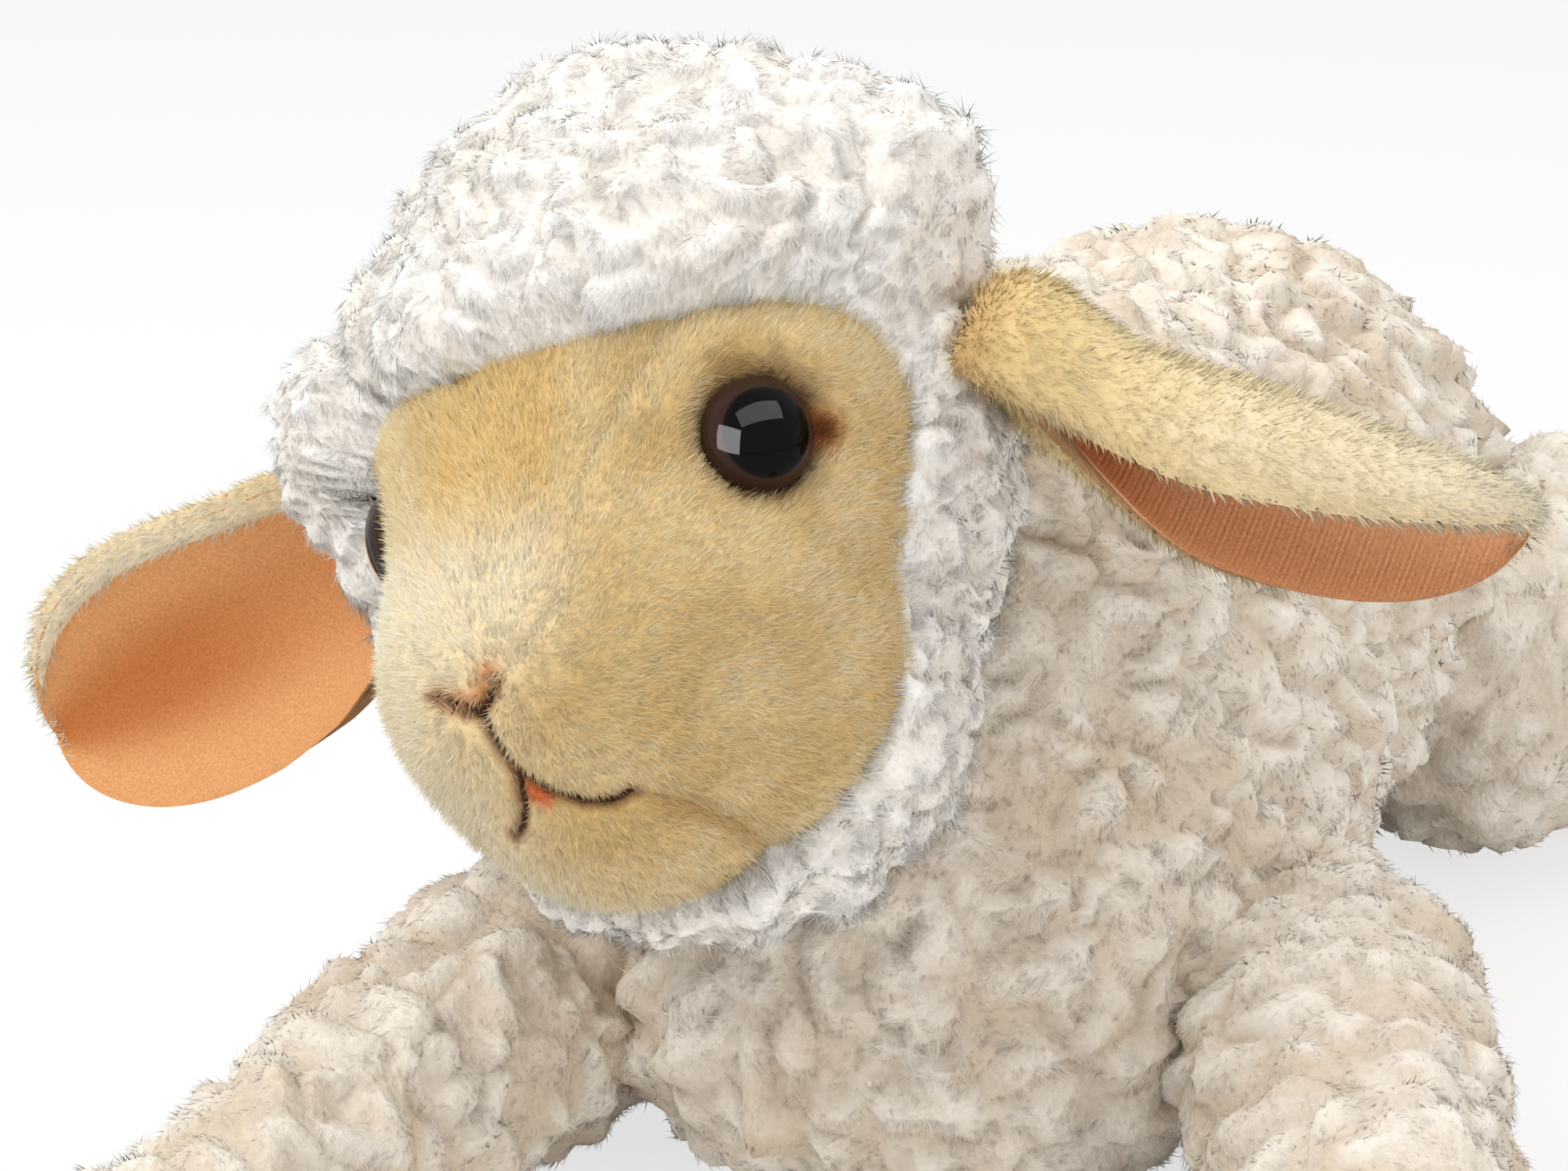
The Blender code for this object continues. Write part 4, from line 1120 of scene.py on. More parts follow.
@dataclass
class Eye:
    """A glossy domed eye with a brown ring."""

    side: Side
    radius: float = 6.8
    height: float = 4.8

    def build(self, gloss: bpy.types.Material) -> None:
        """Builds the eye on the CAD's place."""
        name = f"eye_{self.side.name.lower()}"
        low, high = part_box(name)
        aim = unit(np.array((self.side.value * 0.84, -0.53, 0.06)))
        place = np.array((self.side.value * 30.0, -19.0, 1.9)) * MM - aim * (self.height / 2.0 * MM)
        skin = Skin.ball(64, 48)
        x, y, z = skin.points.T
        rise = np.where(z > 0.0, z * self.height, z * 1.6)
        ring = np.hypot(x, y)
        side = unit(np.cross(np.array((0.0, 0.0, 1.0)), aim))
        up = np.cross(aim, side)
        local = place + (np.outer(x, side) + np.outer(y, up)) * self.radius * MM + np.outer(rise, aim) * MM
        black, brown = rgb(2, 2, 2), rgb(54, 36, 27)
        tints = mixed(black, brown, smooth(0.74, 0.80, ring) * smooth(1.04, 0.96, ring))
        LOG.info("%s spans %.1f mm", name, (high - low).length / MM)
        dome = Skin(HEAD.out(local), skin.faces).outward()
        made = mesh_object(name + "_dome", dome.points, dome.faces, tints)
        finish(made, gloss, "head")
        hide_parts(name)


@dataclass
class Ear:
    """An ear: plush outside, velvet lining, rolled along its length."""

    side: Side
    along: tuple[float, float, float]
    open_way: tuple[float, float, float]
    rolls: tuple[float, ...]
    fold: tuple[float, ...]
    fold_side: float
    length: float = 0.068
    half_width: float = 0.0232
    bulge: float = 0.005
    slim: float = 1.0
    neck: float = 0.42
    full: float = 0.5
    ribs: float = 0.0
    fold_height: float = 0.0028
    stations: tuple[float, ...] = (-0.06, 0.08, 0.20, 0.34, 0.50, 0.66, 0.80, 0.91, 0.98, 1.0)

    def root(self) -> Array:
        """Gives the ear's sewn root, where the CAD's joint turns."""
        return joint_place(f"{self.side.name.lower()}_ear_lift")

    def half(self, share: Array) -> Array:
        """Gives half the ear's width, from its narrow root to its round tip."""
        grown = self.neck + (1.0 - self.neck) * smooth(-0.06, self.full, share)
        tip = np.clip((share - 0.38) / 0.62, 0.0, 0.999)
        return self.half_width * grown * np.sqrt(1.0 - tip ** 2.3)

    def spot(self, share: Array, across: Array) -> tuple[Array, Array]:
        """Finds points of the rolled sheet.

        Args:
            share: From 0 at the root to 1 at the tip.
            across: From -1 at one edge to 1 at the other.

        Returns:
            The points and the ways that face out of the roll.
        """
        along = unit(np.array(self.along))
        side = unit(np.cross(np.array(self.open_way), along))
        opened = unit(np.cross(along, side))
        rolls = np.interp(share, self.stations, (self.rolls[0],) + self.rolls + (self.rolls[-1],))
        radius = self.half(share) / rolls
        slim = self.slim + (1.0 - self.slim) * smooth(0.3, 0.9, share)
        turn = rolls * np.where(across * self.fold_side > 0.0, across * slim, across)
        out = np.outer(np.sin(turn), side) - np.outer(np.cos(turn), opened)
        centre = np.outer(share * self.length, along) + np.outer(radius, opened)
        return self.root() + centre + out * radius[:, None], out

    def band(self, share: Array, across: Array) -> Array:
        """Gives the height of the plush rim that is rolled over the lining's edge, from 0 to 1."""
        wide = np.interp(share, (0.0, 0.1, 0.5, 0.85, 1.0), self.fold)
        reach = (1.0 - across * self.fold_side) * self.half(share) / wide
        tip = (1.0 - share) * self.length / 0.0022
        return np.sqrt(np.clip(1.0 - (2.0 * np.minimum(reach, tip) - 1.0) ** 2, 0.0, 1.0))

    def layer(self, low: float, high: float, lining: bool) -> tuple[Skin, Array]:
        """Builds one layer as a closed sheet between two depths.

        Args:
            low: Depth of its inner face.
            high: Depth of its outer face.
            lining: Whether it is the lining, with its ribs, or the plush, with its rolled rim.

        Returns:
            The skin, and where each point lies: share, across and face.
        """
        ribs, lift, bulge = (self.ribs, 0.0, 0.0) if lining else (0.0, self.fold_height, self.bulge)
        wide, tall = 37, 290 if ribs else 130
        rows, columns = np.linspace(-0.06, 0.998, tall), np.linspace(-1.0, 1.0, wide)
        share, across = np.meshgrid(rows, columns, indexing="ij")
        share, across = share.ravel(), across.ravel()
        edge = np.sqrt(np.clip(1.0 - np.abs(across) ** 6, 0.0, 1.0))
        edge = edge * np.sqrt(np.clip(1.0 - share ** 14, 0.0, 1.0))
        if bulge:
            edge = edge * np.sqrt(np.clip(1.0 - (np.maximum(0.06 - share, 0.0) / 0.121) ** 2, 0.0, 1.0))
        lower = across * self.fold_side < 0.0
        tuck = 0.55 + 0.45 * smooth(-0.02, 0.30, share)
        if lining:
            across = across * np.where(lower, tuck * (1.0 - 0.12 * smooth(0.34, 0.1, share)), 0.94)
        else:
            across = across * np.where(lower, tuck * (1.0 - 0.15 * smooth(0.1, 0.3, share)), 1.0)
        middle, half = (low + high) / 2.0, (high - low) / 2.0
        rib = ribs * np.cos(share * self.length / RIB_PITCH * 2.0 * math.pi)
        outer, way = self.spot(share, across)
        outside = outer + way * (middle + (half + bulge * smooth(0.3, 0.0, share)) * edge)[:, None]
        raised = rib + lift * self.band(share, across)
        inside = outer + way * (middle - half * edge - raised * edge)[:, None]
        points = np.concatenate([outside, inside])
        index = np.arange(tall * wide).reshape(tall, wide)
        corners = (index[:-1, :-1], index[1:, :-1], index[1:, 1:], index[:-1, 1:])
        a, b, c, d = (corner.ravel() for corner in corners)
        top = np.concatenate([np.stack([a, b, c], 1), np.stack([a, c, d], 1)])
        count = tall * wide
        ring = np.concatenate([index[0, :-1], index[:-1, -1], index[-1, :0:-1], index[:0:-1, 0]])
        after = np.roll(ring, -1)
        rim = np.concatenate([np.stack([ring, after, after + count], 1),
                              np.stack([ring, after + count, ring + count], 1)])
        faces = np.concatenate([top, top[:, ::-1] + count, rim])
        skin = Skin(points, faces).outward()
        where = np.stack([np.tile(share, 2), np.tile(across, 2), np.repeat((1.0, -1.0), count)], axis=1)
        return skin, where

    def build(self, cloth: bpy.types.Material, velvet: bpy.types.Material, pile: bpy.types.Material) -> None:
        """Builds the plush, its pile and the lining."""
        name, body = f"ear_{self.side.name.lower()}", f"{self.side.name.lower()}_ear"
        plush, where = self.layer(0.0004, 0.0022, False)
        colours = self.plush_colours(where[:, 0], where[:, 1])
        made = mesh_object(f"{name}_plush_cloth", plush.points, plush.faces, colours[0])
        finish(made, cloth, body)
        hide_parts(f"{name}_plush")
        lining, where = self.layer(-0.0012, 0.0001, True)
        made = mesh_object(f"{name}_lining_velvet", lining.points, lining.faces, self.lining_colours(where))
        finish(made, velvet, body)
        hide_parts(f"{name}_lining")
        cut = PileCut(density=4.3, length=0.0021, width=0.00027, lift=0.36, stray=0.18, soften=0.92)
        grown = Pile(f"{name}_pile", plush, cut, 91)
        values = np.column_stack([where, self.band(where[:, 0], where[:, 1])])[plush.faces].mean(axis=1)
        weight = np.where(values[:, 2] > -0.9, 1.0, smooth(0.0, 0.4, values[:, 3]))
        edge = smooth(-0.80, -0.72, values[:, 1] * self.fold_side)
        weight = weight * np.maximum(edge, smooth(0.3, 0.2, values[:, 0]))
        roots, normals, values = grown.roots(weight, where)
        low, high = self.plush_colours(values[:, 0], values[:, 1])
        shade = 1.0 + 0.05 * grown.rng.normal(size=(len(roots), 1))
        nap = unit(np.array(self.along)) + 0.2 * grown.rng.normal(size=(len(roots), 3))
        finish(grown.build(roots, normals, nap, low * shade, high * shade), pile, body)

    @staticmethod
    def plush_colours(share: Array, across: Array) -> tuple[Array, Array]:
        """Colours the plush: yellow at the root, paler to the tip."""
        pale = smooth(0.05, 0.55, share)
        low = mixed(rgb(230, 202, 144), rgb(232, 216, 182), pale)
        high = mixed(rgb(246, 230, 186), rgb(250, 243, 224), pale)
        rim = smooth(0.8, 1.0, np.abs(across))
        seam = smooth(0.05, -0.05, share)
        low, high = mixed(low, rgb(196, 148, 84), seam * 0.7), mixed(high, rgb(232, 198, 136), seam * 0.7)
        return mixed(low, rgb(220, 182, 116), rim * 0.4), mixed(high, rgb(244, 226, 180), rim * 0.4)

    def lining_colours(self, where: Array) -> Array:
        """Colours the lining, with painted shade deeper towards the root and along the fold, in the ear's
        hollow.
        """
        share, across, face = where.T
        if self.side is Side.LEFT:
            base, deep = rgb(254, 208, 168), rgb(226, 156, 102)
            fold = smooth(0.35, -0.15, across * self.fold_side) * 0.6 + smooth(0.4, 0.0, share) * 0.5
        else:
            base, deep = rgb(226, 164, 110), rgb(184, 104, 50)
            fold = smooth(0.7, 0.1, np.abs(across)) * (0.4 + 0.4 * smooth(0.3, 0.7, share))
            fold = fold + smooth(0.3, 0.0, share) * 0.6
            fold = fold * smooth(0.75, 0.45, across * self.fold_side)
        # Painted shade: the lining darkens towards the root and along the fold, where the ear's hollow lies
        # in shade.
        colours = mixed(base, deep, np.clip(fold, 0.0, 1.0))
        if not self.ribs:
            return colours
        rib = 0.5 + 0.5 * np.cos(share * self.length / RIB_PITCH * 2.0 * math.pi)
        return colours * (0.92 + 0.08 * rib)[:, None]


@dataclass
class Leg:
    """A stuffed leg with a wool skin and a velour foot."""

    limb: str
    joint: str
    heading: float
    length: float
    radius: float
    profile: tuple[tuple[float, float], ...]
    toe: float
    seam: float = 0.82

    def form(self, skin: Skin, start: float, end: float, grow: float) -> Array:
        """Lays a ball's points along the leg.

        Args:
            skin: A ball of radius one whose poles are on the Z axis.
            start: Distance from the pivot where the form begins.
            end: Distance where it ends.
            grow: Distance outside the leg's surface.

        Returns:
            The points in the row's frame.
        """
        x, y, z = skin.points.T
        ring = np.hypot(x, y)
        turn = np.arctan2(y, x)
        share = np.arccos(np.clip(-z, -1.0, 1.0)) / math.pi
        distance = start + (end - start) * share
        shares, parts = np.array(self.profile).T
        radius = self.radius * np.interp(distance / self.length, shares, parts)
        round_end = np.sqrt(np.clip(self.radius ** 2 - distance ** 2, 0.0, None))
        radius = np.where(distance < 0.0, round_end, radius)
        nose = np.clip((end - distance) / (0.8 * self.toe), 0.0, 1.0)
        radius = np.minimum(radius, self.toe * 3.0) * np.sqrt(1.0 - (1.0 - nose) ** 2)
        tail = np.clip((distance - start) / (0.5 * self.radius), 0.0, 1.0)
        radius = (radius + grow) * np.where(ring < 1e-6, 0.0, 1.0) * np.sqrt(1.0 - (1.0 - tail) ** 2)
        high = np.maximum(self.radius * np.interp(distance / self.length, shares, parts), self.toe) - 0.0005
        high = np.where(distance < 0.0, self.radius - 0.0005, high)
        pivot = self.pivot()
        way = np.array((math.sin(self.heading), math.cos(self.heading), 0.0))
        side = np.array((way[1], -way[0], 0.0))
        points = np.outer(distance, way) + np.outer(radius * np.cos(turn), side)
        points[:, :2] += pivot[:2]
        points[:, 2] = high + radius * np.sin(turn)
        points[:, 2] = np.maximum(points[:, 2], FLOOR_ROOM)
        return points

    def pivot(self) -> Array:
        """Gives the shoulder or hip, where the CAD's joint turns."""
        return joint_place(self.joint)

    def build(self, cloth: bpy.types.Material, pile: bpy.types.Material, velour: bpy.types.Material,
              nap_pile: bpy.types.Material, density: float, seed: int) -> None:
        """Builds the leg's wool, its foot and both piles."""
        body = self.joint.replace("_swing", "")
        way = np.array((math.sin(self.heading), math.cos(self.heading), 0.0))
        ball = Skin.ball(72, 110)
        seam = self.seam * self.length
        skin = Skin(self.form(ball, -0.85 * self.radius, seam + 0.004, -WOOL_INSET), ball.faces).outward()
        tufts = Tufts(0.0088, 0.0022, seed, (1.0, 1.0, 1.0), 0.6, (0.3 * way[0], 0.3 * way[1], -0.4))
        centres = tufts.scatter(skin)
        room = tufts.swell(skin, centres)
        skin.points[:, 2] = np.maximum(skin.points[:, 2], FLOOR_ROOM)
        tints = BODY_WOOL.cloth(tufts.read(centres, skin.points)[1], skin.points, 13)
        made = mesh_object(f"{self.limb}_fleece", skin.points, skin.faces, tints)
        finish(made, cloth, body)
        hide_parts(f"{self.limb}_wool", f"{self.limb}_filling")
        cut = replace(WOOL_CUT, density=density, width=0.0002 if density > 1.5 else 0.0004)
        grown = Pile(f"{self.limb}_pile", skin, cut, seed + 1)
        outside = BODY_FORM.distance(skin.centres()) > -0.004
        low_side = skin.centres()[:, 2] > 0.0012
        roots, normals = grown.roots((outside & low_side) * room)
        numbers, shares = tufts.read(centres, roots)
        low, high = BODY_WOOL.at(shares, roots, grown.rng)
        nap = 0.6 * way + np.array((0.0, 0.0, -0.3)) + 0.7 * Head.curls(numbers, seed + 2) \
            + 1.0 * wisps(roots, 0.009, seed + 3)
        finish(grown.build(roots, normals, nap, low, high, curl_lengths(shares)), pile, body)
        self.build_foot(body, way, velour, nap_pile, seed)

    def build_foot(self, body: str, way: Array, velour: bpy.types.Material, nap_pile: bpy.types.Material,
                   seed: int) -> None:
        """Builds the velour foot and its pile."""
        ball = Skin.ball(56, 48)
        seam = self.seam * self.length
        skin = Skin(self.form(ball, seam - 0.002, self.length, -0.002), ball.faces).outward()
        rng = np.random.default_rng(seed + 4)
        tone = smooth(-1.0, 1.0, Waves(0.02, 21).at(skin.points))
        made = mesh_object(f"{self.limb}_foot_velour", skin.points, skin.faces,
                           mixed(rgb(206, 172, 114), rgb(216, 186, 132), tone))
        finish(made, velour, body)
        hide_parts(f"{self.limb}_foot")
        cut = PileCut(density=1.4, length=0.0024, width=0.0005, lift=0.4, stray=0.18, soften=0.85)
        grown = Pile(f"{self.limb}_foot_pile", skin, cut, seed + 5)
        roots, normals = grown.roots((skin.centres()[:, 2] > 0.001).astype(float))
        tone = smooth(-1.0, 1.0, Waves(0.02, 21).at(roots))
        shade = 1.0 + 0.05 * rng.normal(size=(len(roots), 1))
        low = mixed(rgb(206, 172, 114), rgb(216, 186, 132), tone) * shade
        high = mixed(rgb(234, 210, 162), rgb(246, 230, 190), tone) * shade
        nap = np.tile(way, (len(roots), 1))
        finish(grown.build(roots, normals, nap, low, high), nap_pile, body)


@dataclass
class Trunk:
    """The stuffed wool body and the tail."""

    settle_rounds: int = 2
    tail_length: float = 0.046
    tail_sunk: float = 0.006
    tail_radius: float = 0.0072
    tail_swell: float = 0.002
    tail_flatness: float = 0.8

    def build(self, cloth: bpy.types.Material, pile: bpy.types.Material) -> None:
        """Builds the body's fleece and its piles."""
        skin = Skin.even_ball()
        skin.points = BODY_FORM.surface(unit(skin.points), -WOOL_INSET)
        skin.settle(self.settle_rounds)
        tufts = Tufts(0.0088, 0.0028, 23, (1.2, 1.1, 0.85), 0.4, (0.0, 0.3, -0.9))
        centres = tufts.scatter(skin)
        room = tufts.swell(skin, centres)
        self.press(skin)
        tints = BODY_WOOL.cloth(tufts.read(centres, skin.points)[1], skin.points, 14)
        made = mesh_object("body_fleece", skin.points, skin.faces, tints)
        finish(made, cloth, "trunk")
        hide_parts("body_wool", "body_filling", "neck_filling")
        middle = skin.centres()
        open_air = (HOOD_FORM.distance(middle) > -0.001) & (middle[:, 2] > 0.0015)
        chest, left, rump = middle[:, 1] < -0.055, middle[:, 0] > 0.0, middle[:, 1] > 0.020
        parts = (("body_pile_chest_left", chest & left, 3.2, 0.00018),
                 ("body_pile_chest_right", chest & ~left, 1.1, 0.00028),
                 ("body_pile_side", ~chest & ~rump, 1.4, 0.00028), ("body_pile_rump", rump, 0.5, 0.00045))
        for index, (name, keep, density, wide) in enumerate(parts):
            cut = replace(WOOL_CUT, density=density, width=wide)
            keep = keep & open_air
            grown = Pile(name, skin.part(keep), cut, 100 + index)
            roots, normals = grown.roots(room[keep])
            numbers, shares = tufts.read(centres, roots)
            low, high = BODY_WOOL.at(shares, roots, grown.rng)
            nap = np.array((0.1, 0.2, -0.6)) + 0.6 * Head.curls(numbers, 77) + 1.0 * wisps(roots, 0.010, 79)
            grown_body = grown.build(roots, normals, nap, low, high, curl_lengths(shares))
            finish(grown_body, pile, "trunk")

    @staticmethod
    def press(skin: Skin) -> None:
        """Presses the skin in where the head rests, and flat on the floor."""
        normals = skin.normals()
        for _ in range(4):
            inside = np.maximum(0.0012 - HOOD_FORM.distance(skin.points), 0.0)
            skin.points = skin.points - normals * inside[:, None]
        skin.points[:, 2] = np.maximum(skin.points[:, 2], 0.0)

    def build_tail(self, cloth: bpy.types.Material, pile: bpy.types.Material) -> None:
        """Builds the tail's fleece and pile."""
        low, high = (np.array(corner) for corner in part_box("tail_wool"))
        pivot = joint_place("tail_lift")
        way = unit(np.array((0.0, 0.52, -0.85)))
        ball = Skin.ball(40, 50)
        x, y, z = ball.points.T
        along = (1.0 - z) / 2.0 * (self.tail_length + self.tail_sunk) - self.tail_sunk
        bulge = np.sin(np.clip(along / self.tail_length, 0.0, 1.0) * math.pi)
        wide = self.tail_radius + self.tail_swell * bulge
        side, up = np.array((1.0, 0.0, 0.0)), np.cross(way, np.array((1.0, 0.0, 0.0)))
        across = np.outer(x * wide, side) + np.outer(y * wide * self.tail_flatness, up)
        skin = Skin(pivot + np.outer(along, way) + across, ball.faces).outward()
        tufts = Tufts(0.008, 0.002, 33, waves=0.3)
        centres = tufts.scatter(skin)
        tufts.swell(skin, centres)
        tints = BODY_WOOL.cloth(tufts.read(centres, skin.points)[1] * 0.5 + 0.5, skin.points, 15)
        made = mesh_object("tail_fleece", skin.points, skin.faces, tints)
        LOG.info("tail spans %.0f mm", np.linalg.norm(high - low) / MM)
        finish(made, cloth, "tail")
        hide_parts("tail_wool")
        cut = PileCut(density=1.6, length=0.0026, width=0.0004, lift=0.2, stray=0.16, soften=0.95)
        grown = Pile("tail_pile", skin, cut, 34)
        roots, normals = grown.roots()
        numbers, shares = tufts.read(centres, roots)
        low_tint, high_tint = BODY_WOOL.at(shares * 0.5 + 0.5, roots, grown.rng)
        nap = way + 0.6 * Head.curls(numbers, 78)
        finish(grown.build(roots, normals, nap, low_tint, high_tint), pile, "tail")


@dataclass
class Stitching:
    """The nose, lip and mouth lines in dark thread."""

    radius: float = 0.42

    def build(self, thread: bpy.types.Material) -> None:
        """Builds the three lines on the CAD's places."""
        head = Head()
        lines = {"nose_stitching": head.nose, "lip_stitching": head.lip, "mouth_stitching": head.mouth}
        for name, path in lines.items():
            steps = np.linspace(0.0, len(path) - 1.0, 12 * len(path))
            corners = np.arange(len(path))
            fine = np.stack([np.interp(steps, corners, path[:, axis]) for axis in range(2)], axis=1)
            points = self.on_face(head, fine)
            along = unit(np.gradient(points, axis=0))
            side = unit(np.cross(along, AHEAD))
            rings = 8
            turn = np.arange(rings) / rings * 2.0 * math.pi
            bulge = 1.0 + 0.25 * np.abs(np.sin(steps * math.pi * 3.0))
            taper = np.sqrt(np.clip(1.0 - np.abs(np.linspace(-1.0, 1.0, len(points))) ** 10, 0.02, 1.0))
            size = self.radius * MM * bulge * taper
            ring = side[:, None, :] * np.cos(turn)[None, :, None] \
                + np.cross(along, side)[:, None, :] * np.sin(turn)[None, :, None]
            places = (points[:, None, :] + ring * size[:, None, None]).reshape(-1, 3)
            faces = tube_faces(len(points), rings)
            tints = np.tile(rgb(58, 30, 14), (len(places) + 2, 1))
            places = np.concatenate([places, points[:1], points[-1:]])
            made = mesh_object(name + "_thread", HEAD.out(places), faces, tints)
            finish(made, thread, "head")
            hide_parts(name)

    @staticmethod
    def on_face(head: Head, flat: Array) -> Array:
        """Finds the face's surface straight ahead of flat places, in the creases."""
        start = np.stack([flat[:, 0], np.zeros(len(flat)), flat[:, 1]], axis=1) * MM
        low = FACE_FORM.depth(start, np.tile(AHEAD, (len(flat), 1)), FACE_INSET, 0.09)
        return start + AHEAD * (low - head.creases(start + AHEAD * low[:, None]) * MM + 0.0002)[:, None]


def tube_faces(count: int, rings: int) -> Array:
    """Gives the triangles of a tube of rings, closed at both ends by a point each."""
    faces = []
    for first in range(count - 1):
        for corner in range(rings):
            after = (corner + 1) % rings
            a, b = first * rings + corner, first * rings + after
            faces += [(a, b, b + rings), (a, b + rings, a + rings)]
    start, end, last = count * rings, count * rings + 1, (count - 1) * rings
    for corner in range(rings):
        after = (corner + 1) % rings
        faces += [(start, after, corner), (end, last + corner, last + after)]
    return np.array(faces)[:, ::-1]


@dataclass
class Studio:
    """The white table, the soft lamps and the camera of the photograph."""

    camera_place: tuple[float, float, float] = (0.1849, -0.5693, 0.2509)
    camera_target: tuple[float, float, float] = (-0.0032, -0.1037, 0.0877)
    lens: float = 100.0

    def build(self) -> None:
        """Builds the studio."""
        scene = bpy.context.scene
        scene.view_settings.view_transform = "Standard"
        self.floor()
        self.world()
        self.lamp("key", (-0.55, -0.55, 0.9), (0.7, 0.7), 8.3)
        self.lamp("top", (0.1, 0.2, 1.1), (1.0, 0.8), 5.0)
        self.lamp("fill", (0.85, -0.6, 0.4), (0.8, 0.8), 3.5)
        self.lamp("window", (-0.18, -1.0, 0.30), (0.85, 0.72), 46.0, True)
        self.lamp("band", (0.46, -0.39, 0.90), (1.2, 0.5), 14.0, True)
        camera = bpy.data.cameras.new("camera")
        camera.lens = self.lens
        camera.clip_start = 0.01
        made = bpy.data.objects.new("camera", camera)
        scene.collection.objects.link(made)
        place, target = Vector(self.camera_place), Vector(self.camera_target)
        made.matrix_world = self.aimed(place, target)
        scene.camera = made

    def lamp(self, name: str, place: tuple[float, float, float], size: tuple[float, float], power: float,
             mirrored: bool = False) -> None:
        """Hangs one soft lamp that looks at the lamb, and is either lit by or mirrored."""
        light = bpy.data.lights.new(name, "AREA")
        light.shape = "RECTANGLE"
        light.size, light.size_y = size
        light.energy = power
        made = bpy.data.objects.new(name, light)
        made.visible_glossy, made.visible_diffuse = mirrored, not mirrored
        bpy.context.scene.collection.objects.link(made)
        made.matrix_world = self.aimed(Vector(place), Vector(LAMB_MIDDLE))

    @staticmethod
    def aimed(place: Vector, target: Vector) -> Matrix:
        """Gives the matrix of a lamp or camera that looks from a place at a target."""
        turn = (target - place).to_track_quat("-Z", "Y")
        return Matrix.Translation(place) @ turn.to_matrix().to_4x4()

    @staticmethod
    def floor() -> None:
        """Lays the white floor, which shows nearly white and keeps the shadow."""
        deselect()
        bpy.ops.mesh.primitive_plane_add(size=12.0, location=(0.0, 0.0, -0.0002))
        made = bpy.context.active_object
        made.name = "floor"
        tree = Tree("floor_white")
        tree.dress(Base_Color=(0.86, 0.86, 0.86, 1.0), Roughness=0.7, Specular_IOR_Level=0.1)
        path = tree.node("ShaderNodeLightPath", {}, {}, "Is Camera Ray")
        glossy = Wire(tree, path.socket.node.outputs["Is Glossy Ray"])
        through = Wire(tree, path.socket.node.outputs["Is Transmission Ray"])
        glow = tree.node("ShaderNodeEmission", {}, {"Color": (1.0, 1.0, 1.0, 1.0), "Strength": 1.0})
        mix = tree.nodes.new("ShaderNodeMixShader")
        tree.feed(mix.inputs[0], (path + glossy + through) * 0.72)
        tree.links.new(tree.shader.outputs[0], mix.inputs[1])
        tree.links.new(glow.socket, mix.inputs[2])
        tree.links.new(mix.outputs[0], tree.nodes["Material Output"].inputs[0])
        made.data.materials.append(tree.material)

    @staticmethod
    def world() -> None:
        """Sets the white surroundings."""
        world = bpy.data.worlds.new("studio")
        bpy.context.scene.world = world
        world.use_nodes = True
        nodes, links = world.node_tree.nodes, world.node_tree.links
        background = nodes["Background"]
        background.inputs["Color"].default_value = (1.0, 1.0, 1.0, 1.0)
        path = nodes.new("ShaderNodeLightPath")
        range_node = nodes.new("ShaderNodeMapRange")
        range_node.inputs["To Min"].default_value = 0.48
        range_node.inputs["To Max"].default_value = 1.0
        total = path.outputs["Is Camera Ray"]
        for name in ("Is Glossy Ray", "Is Transmission Ray"):
            add = nodes.new("ShaderNodeMath")
            links.new(total, add.inputs[0])
            links.new(path.outputs[name], add.inputs[1])
            total = add.outputs[0]
        links.new(total, range_node.inputs["Value"])
        links.new(range_node.outputs["Result"], background.inputs["Strength"])


FORELEG_PROFILE = ((0.0, 1.0), (0.10, 1.01), (0.24, 0.98), (0.40, 0.90), (0.55, 0.84),
                   (0.70, 0.80), (0.80, 0.78), (0.88, 0.76), (1.0, 0.76))
HIND_LEG_PROFILE = ((0.0, 1.0), (0.12, 1.0), (0.26, 0.94), (0.40, 0.82), (0.54, 0.70),
                    (0.68, 0.62), (0.80, 0.58), (0.88, 0.56), (1.0, 0.56))


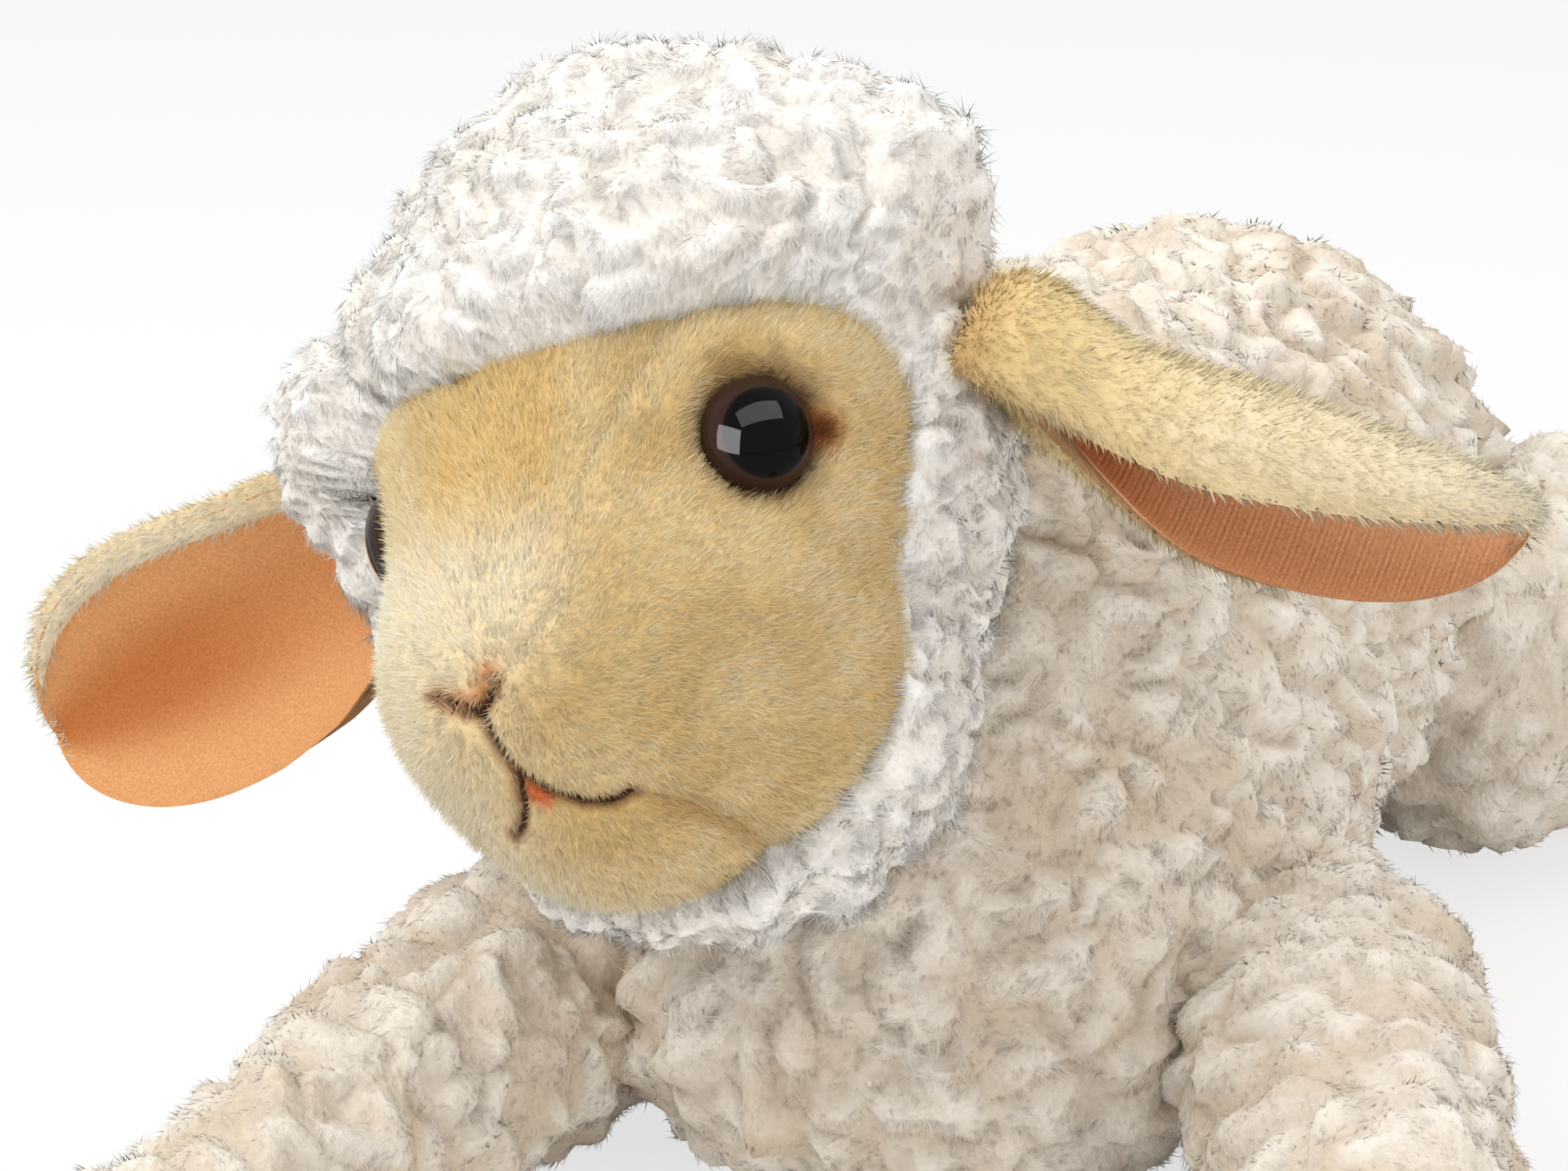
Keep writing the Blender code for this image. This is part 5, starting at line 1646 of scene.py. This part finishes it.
def legs() -> list[Leg]:
    """Gives the four legs as the CAD has them."""
    fore = (0.134, 0.0205, FORELEG_PROFILE, 0.0156)
    hind = (0.118, 0.033, HIND_LEG_PROFILE, 0.0185)
    return [Leg("foreleg_left", "left_foreleg_swing", math.radians(155.0), fore[0], 0.0232, *fore[2:]),
            Leg("foreleg_right", "right_foreleg_swing", math.radians(187.0), *fore),
            Leg("hind_leg_left", "left_hind_leg_swing", math.radians(38.0), *hind),
            Leg("hind_leg_right", "right_hind_leg_swing", math.radians(-38.0), *hind)]


def main() -> None:
    """Builds the lamb and its studio."""
    logging.basicConfig(level=logging.INFO, format="%(message)s")
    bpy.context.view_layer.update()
    fleece = PileFinish("wool_cloth", sheen=0.05, bump=0.5).material()
    wool = PileFinish("wool_pile", sheen=0.05).material()
    velour = PileFinish("velour_cloth", roughness=0.8, bump=0.25).material()
    nap = PileFinish("velour_pile", roughness=0.7, sheen=0.0, grain=1500.0).material()
    velvet = VelvetFinish("ear_velvet").material()
    thread = PileFinish("dark_thread", roughness=0.7, sheen=0.1).material()
    gloss = GlossFinish("eye_gloss").material()
    plastic = PlasticFinish("washer_plastic", (0.7, 0.7, 0.68)).material()
    head = Head()
    head.build_face(velour, nap)
    head.build_hood(fleece, wool)
    Stitching().build(thread)
    for side in Side:
        Eye(side).build(gloss)
        washer = frame["nodes"][f"eye_washer_{side.name.lower()}"]
        washer.data.materials.clear()
        washer.data.materials.append(plastic)
    left = Ear(Side.LEFT, (0.95, 0.12, -0.28), (-0.06, -0.84, -0.54),
               (2.95, 2.75, 2.5, 2.3, 2.15, 2.0, 1.85, 1.7), (0.003,) * 5, 1.0, length=0.0655, ribs=0.00016)
    right = Ear(Side.RIGHT, (-0.835, -0.07, -0.54), (0.0, -0.99, 0.12),
                (1.9, 1.5, 1.2, 1.0, 0.9, 0.85, 0.85, 0.85), (0.0095, 0.009, 0.006, 0.0045, 0.0032),
                -1.0, length=0.0710, half_width=0.0240, bulge=0.003, slim=0.70, neck=0.66, full=0.34)
    for ear in (left, right):
        ear.build(velour, velvet, nap)
    trunk = Trunk()
    trunk.build(fleece, wool)
    trunk.build_tail(fleece, wool)
    for index, leg in enumerate(legs()):
        leg.build(fleece, wool, velour, nap, 1.7 if index < 2 else 0.55, 200 + 10 * index)
    Studio().build()


if __name__ == "__main__":
    main()
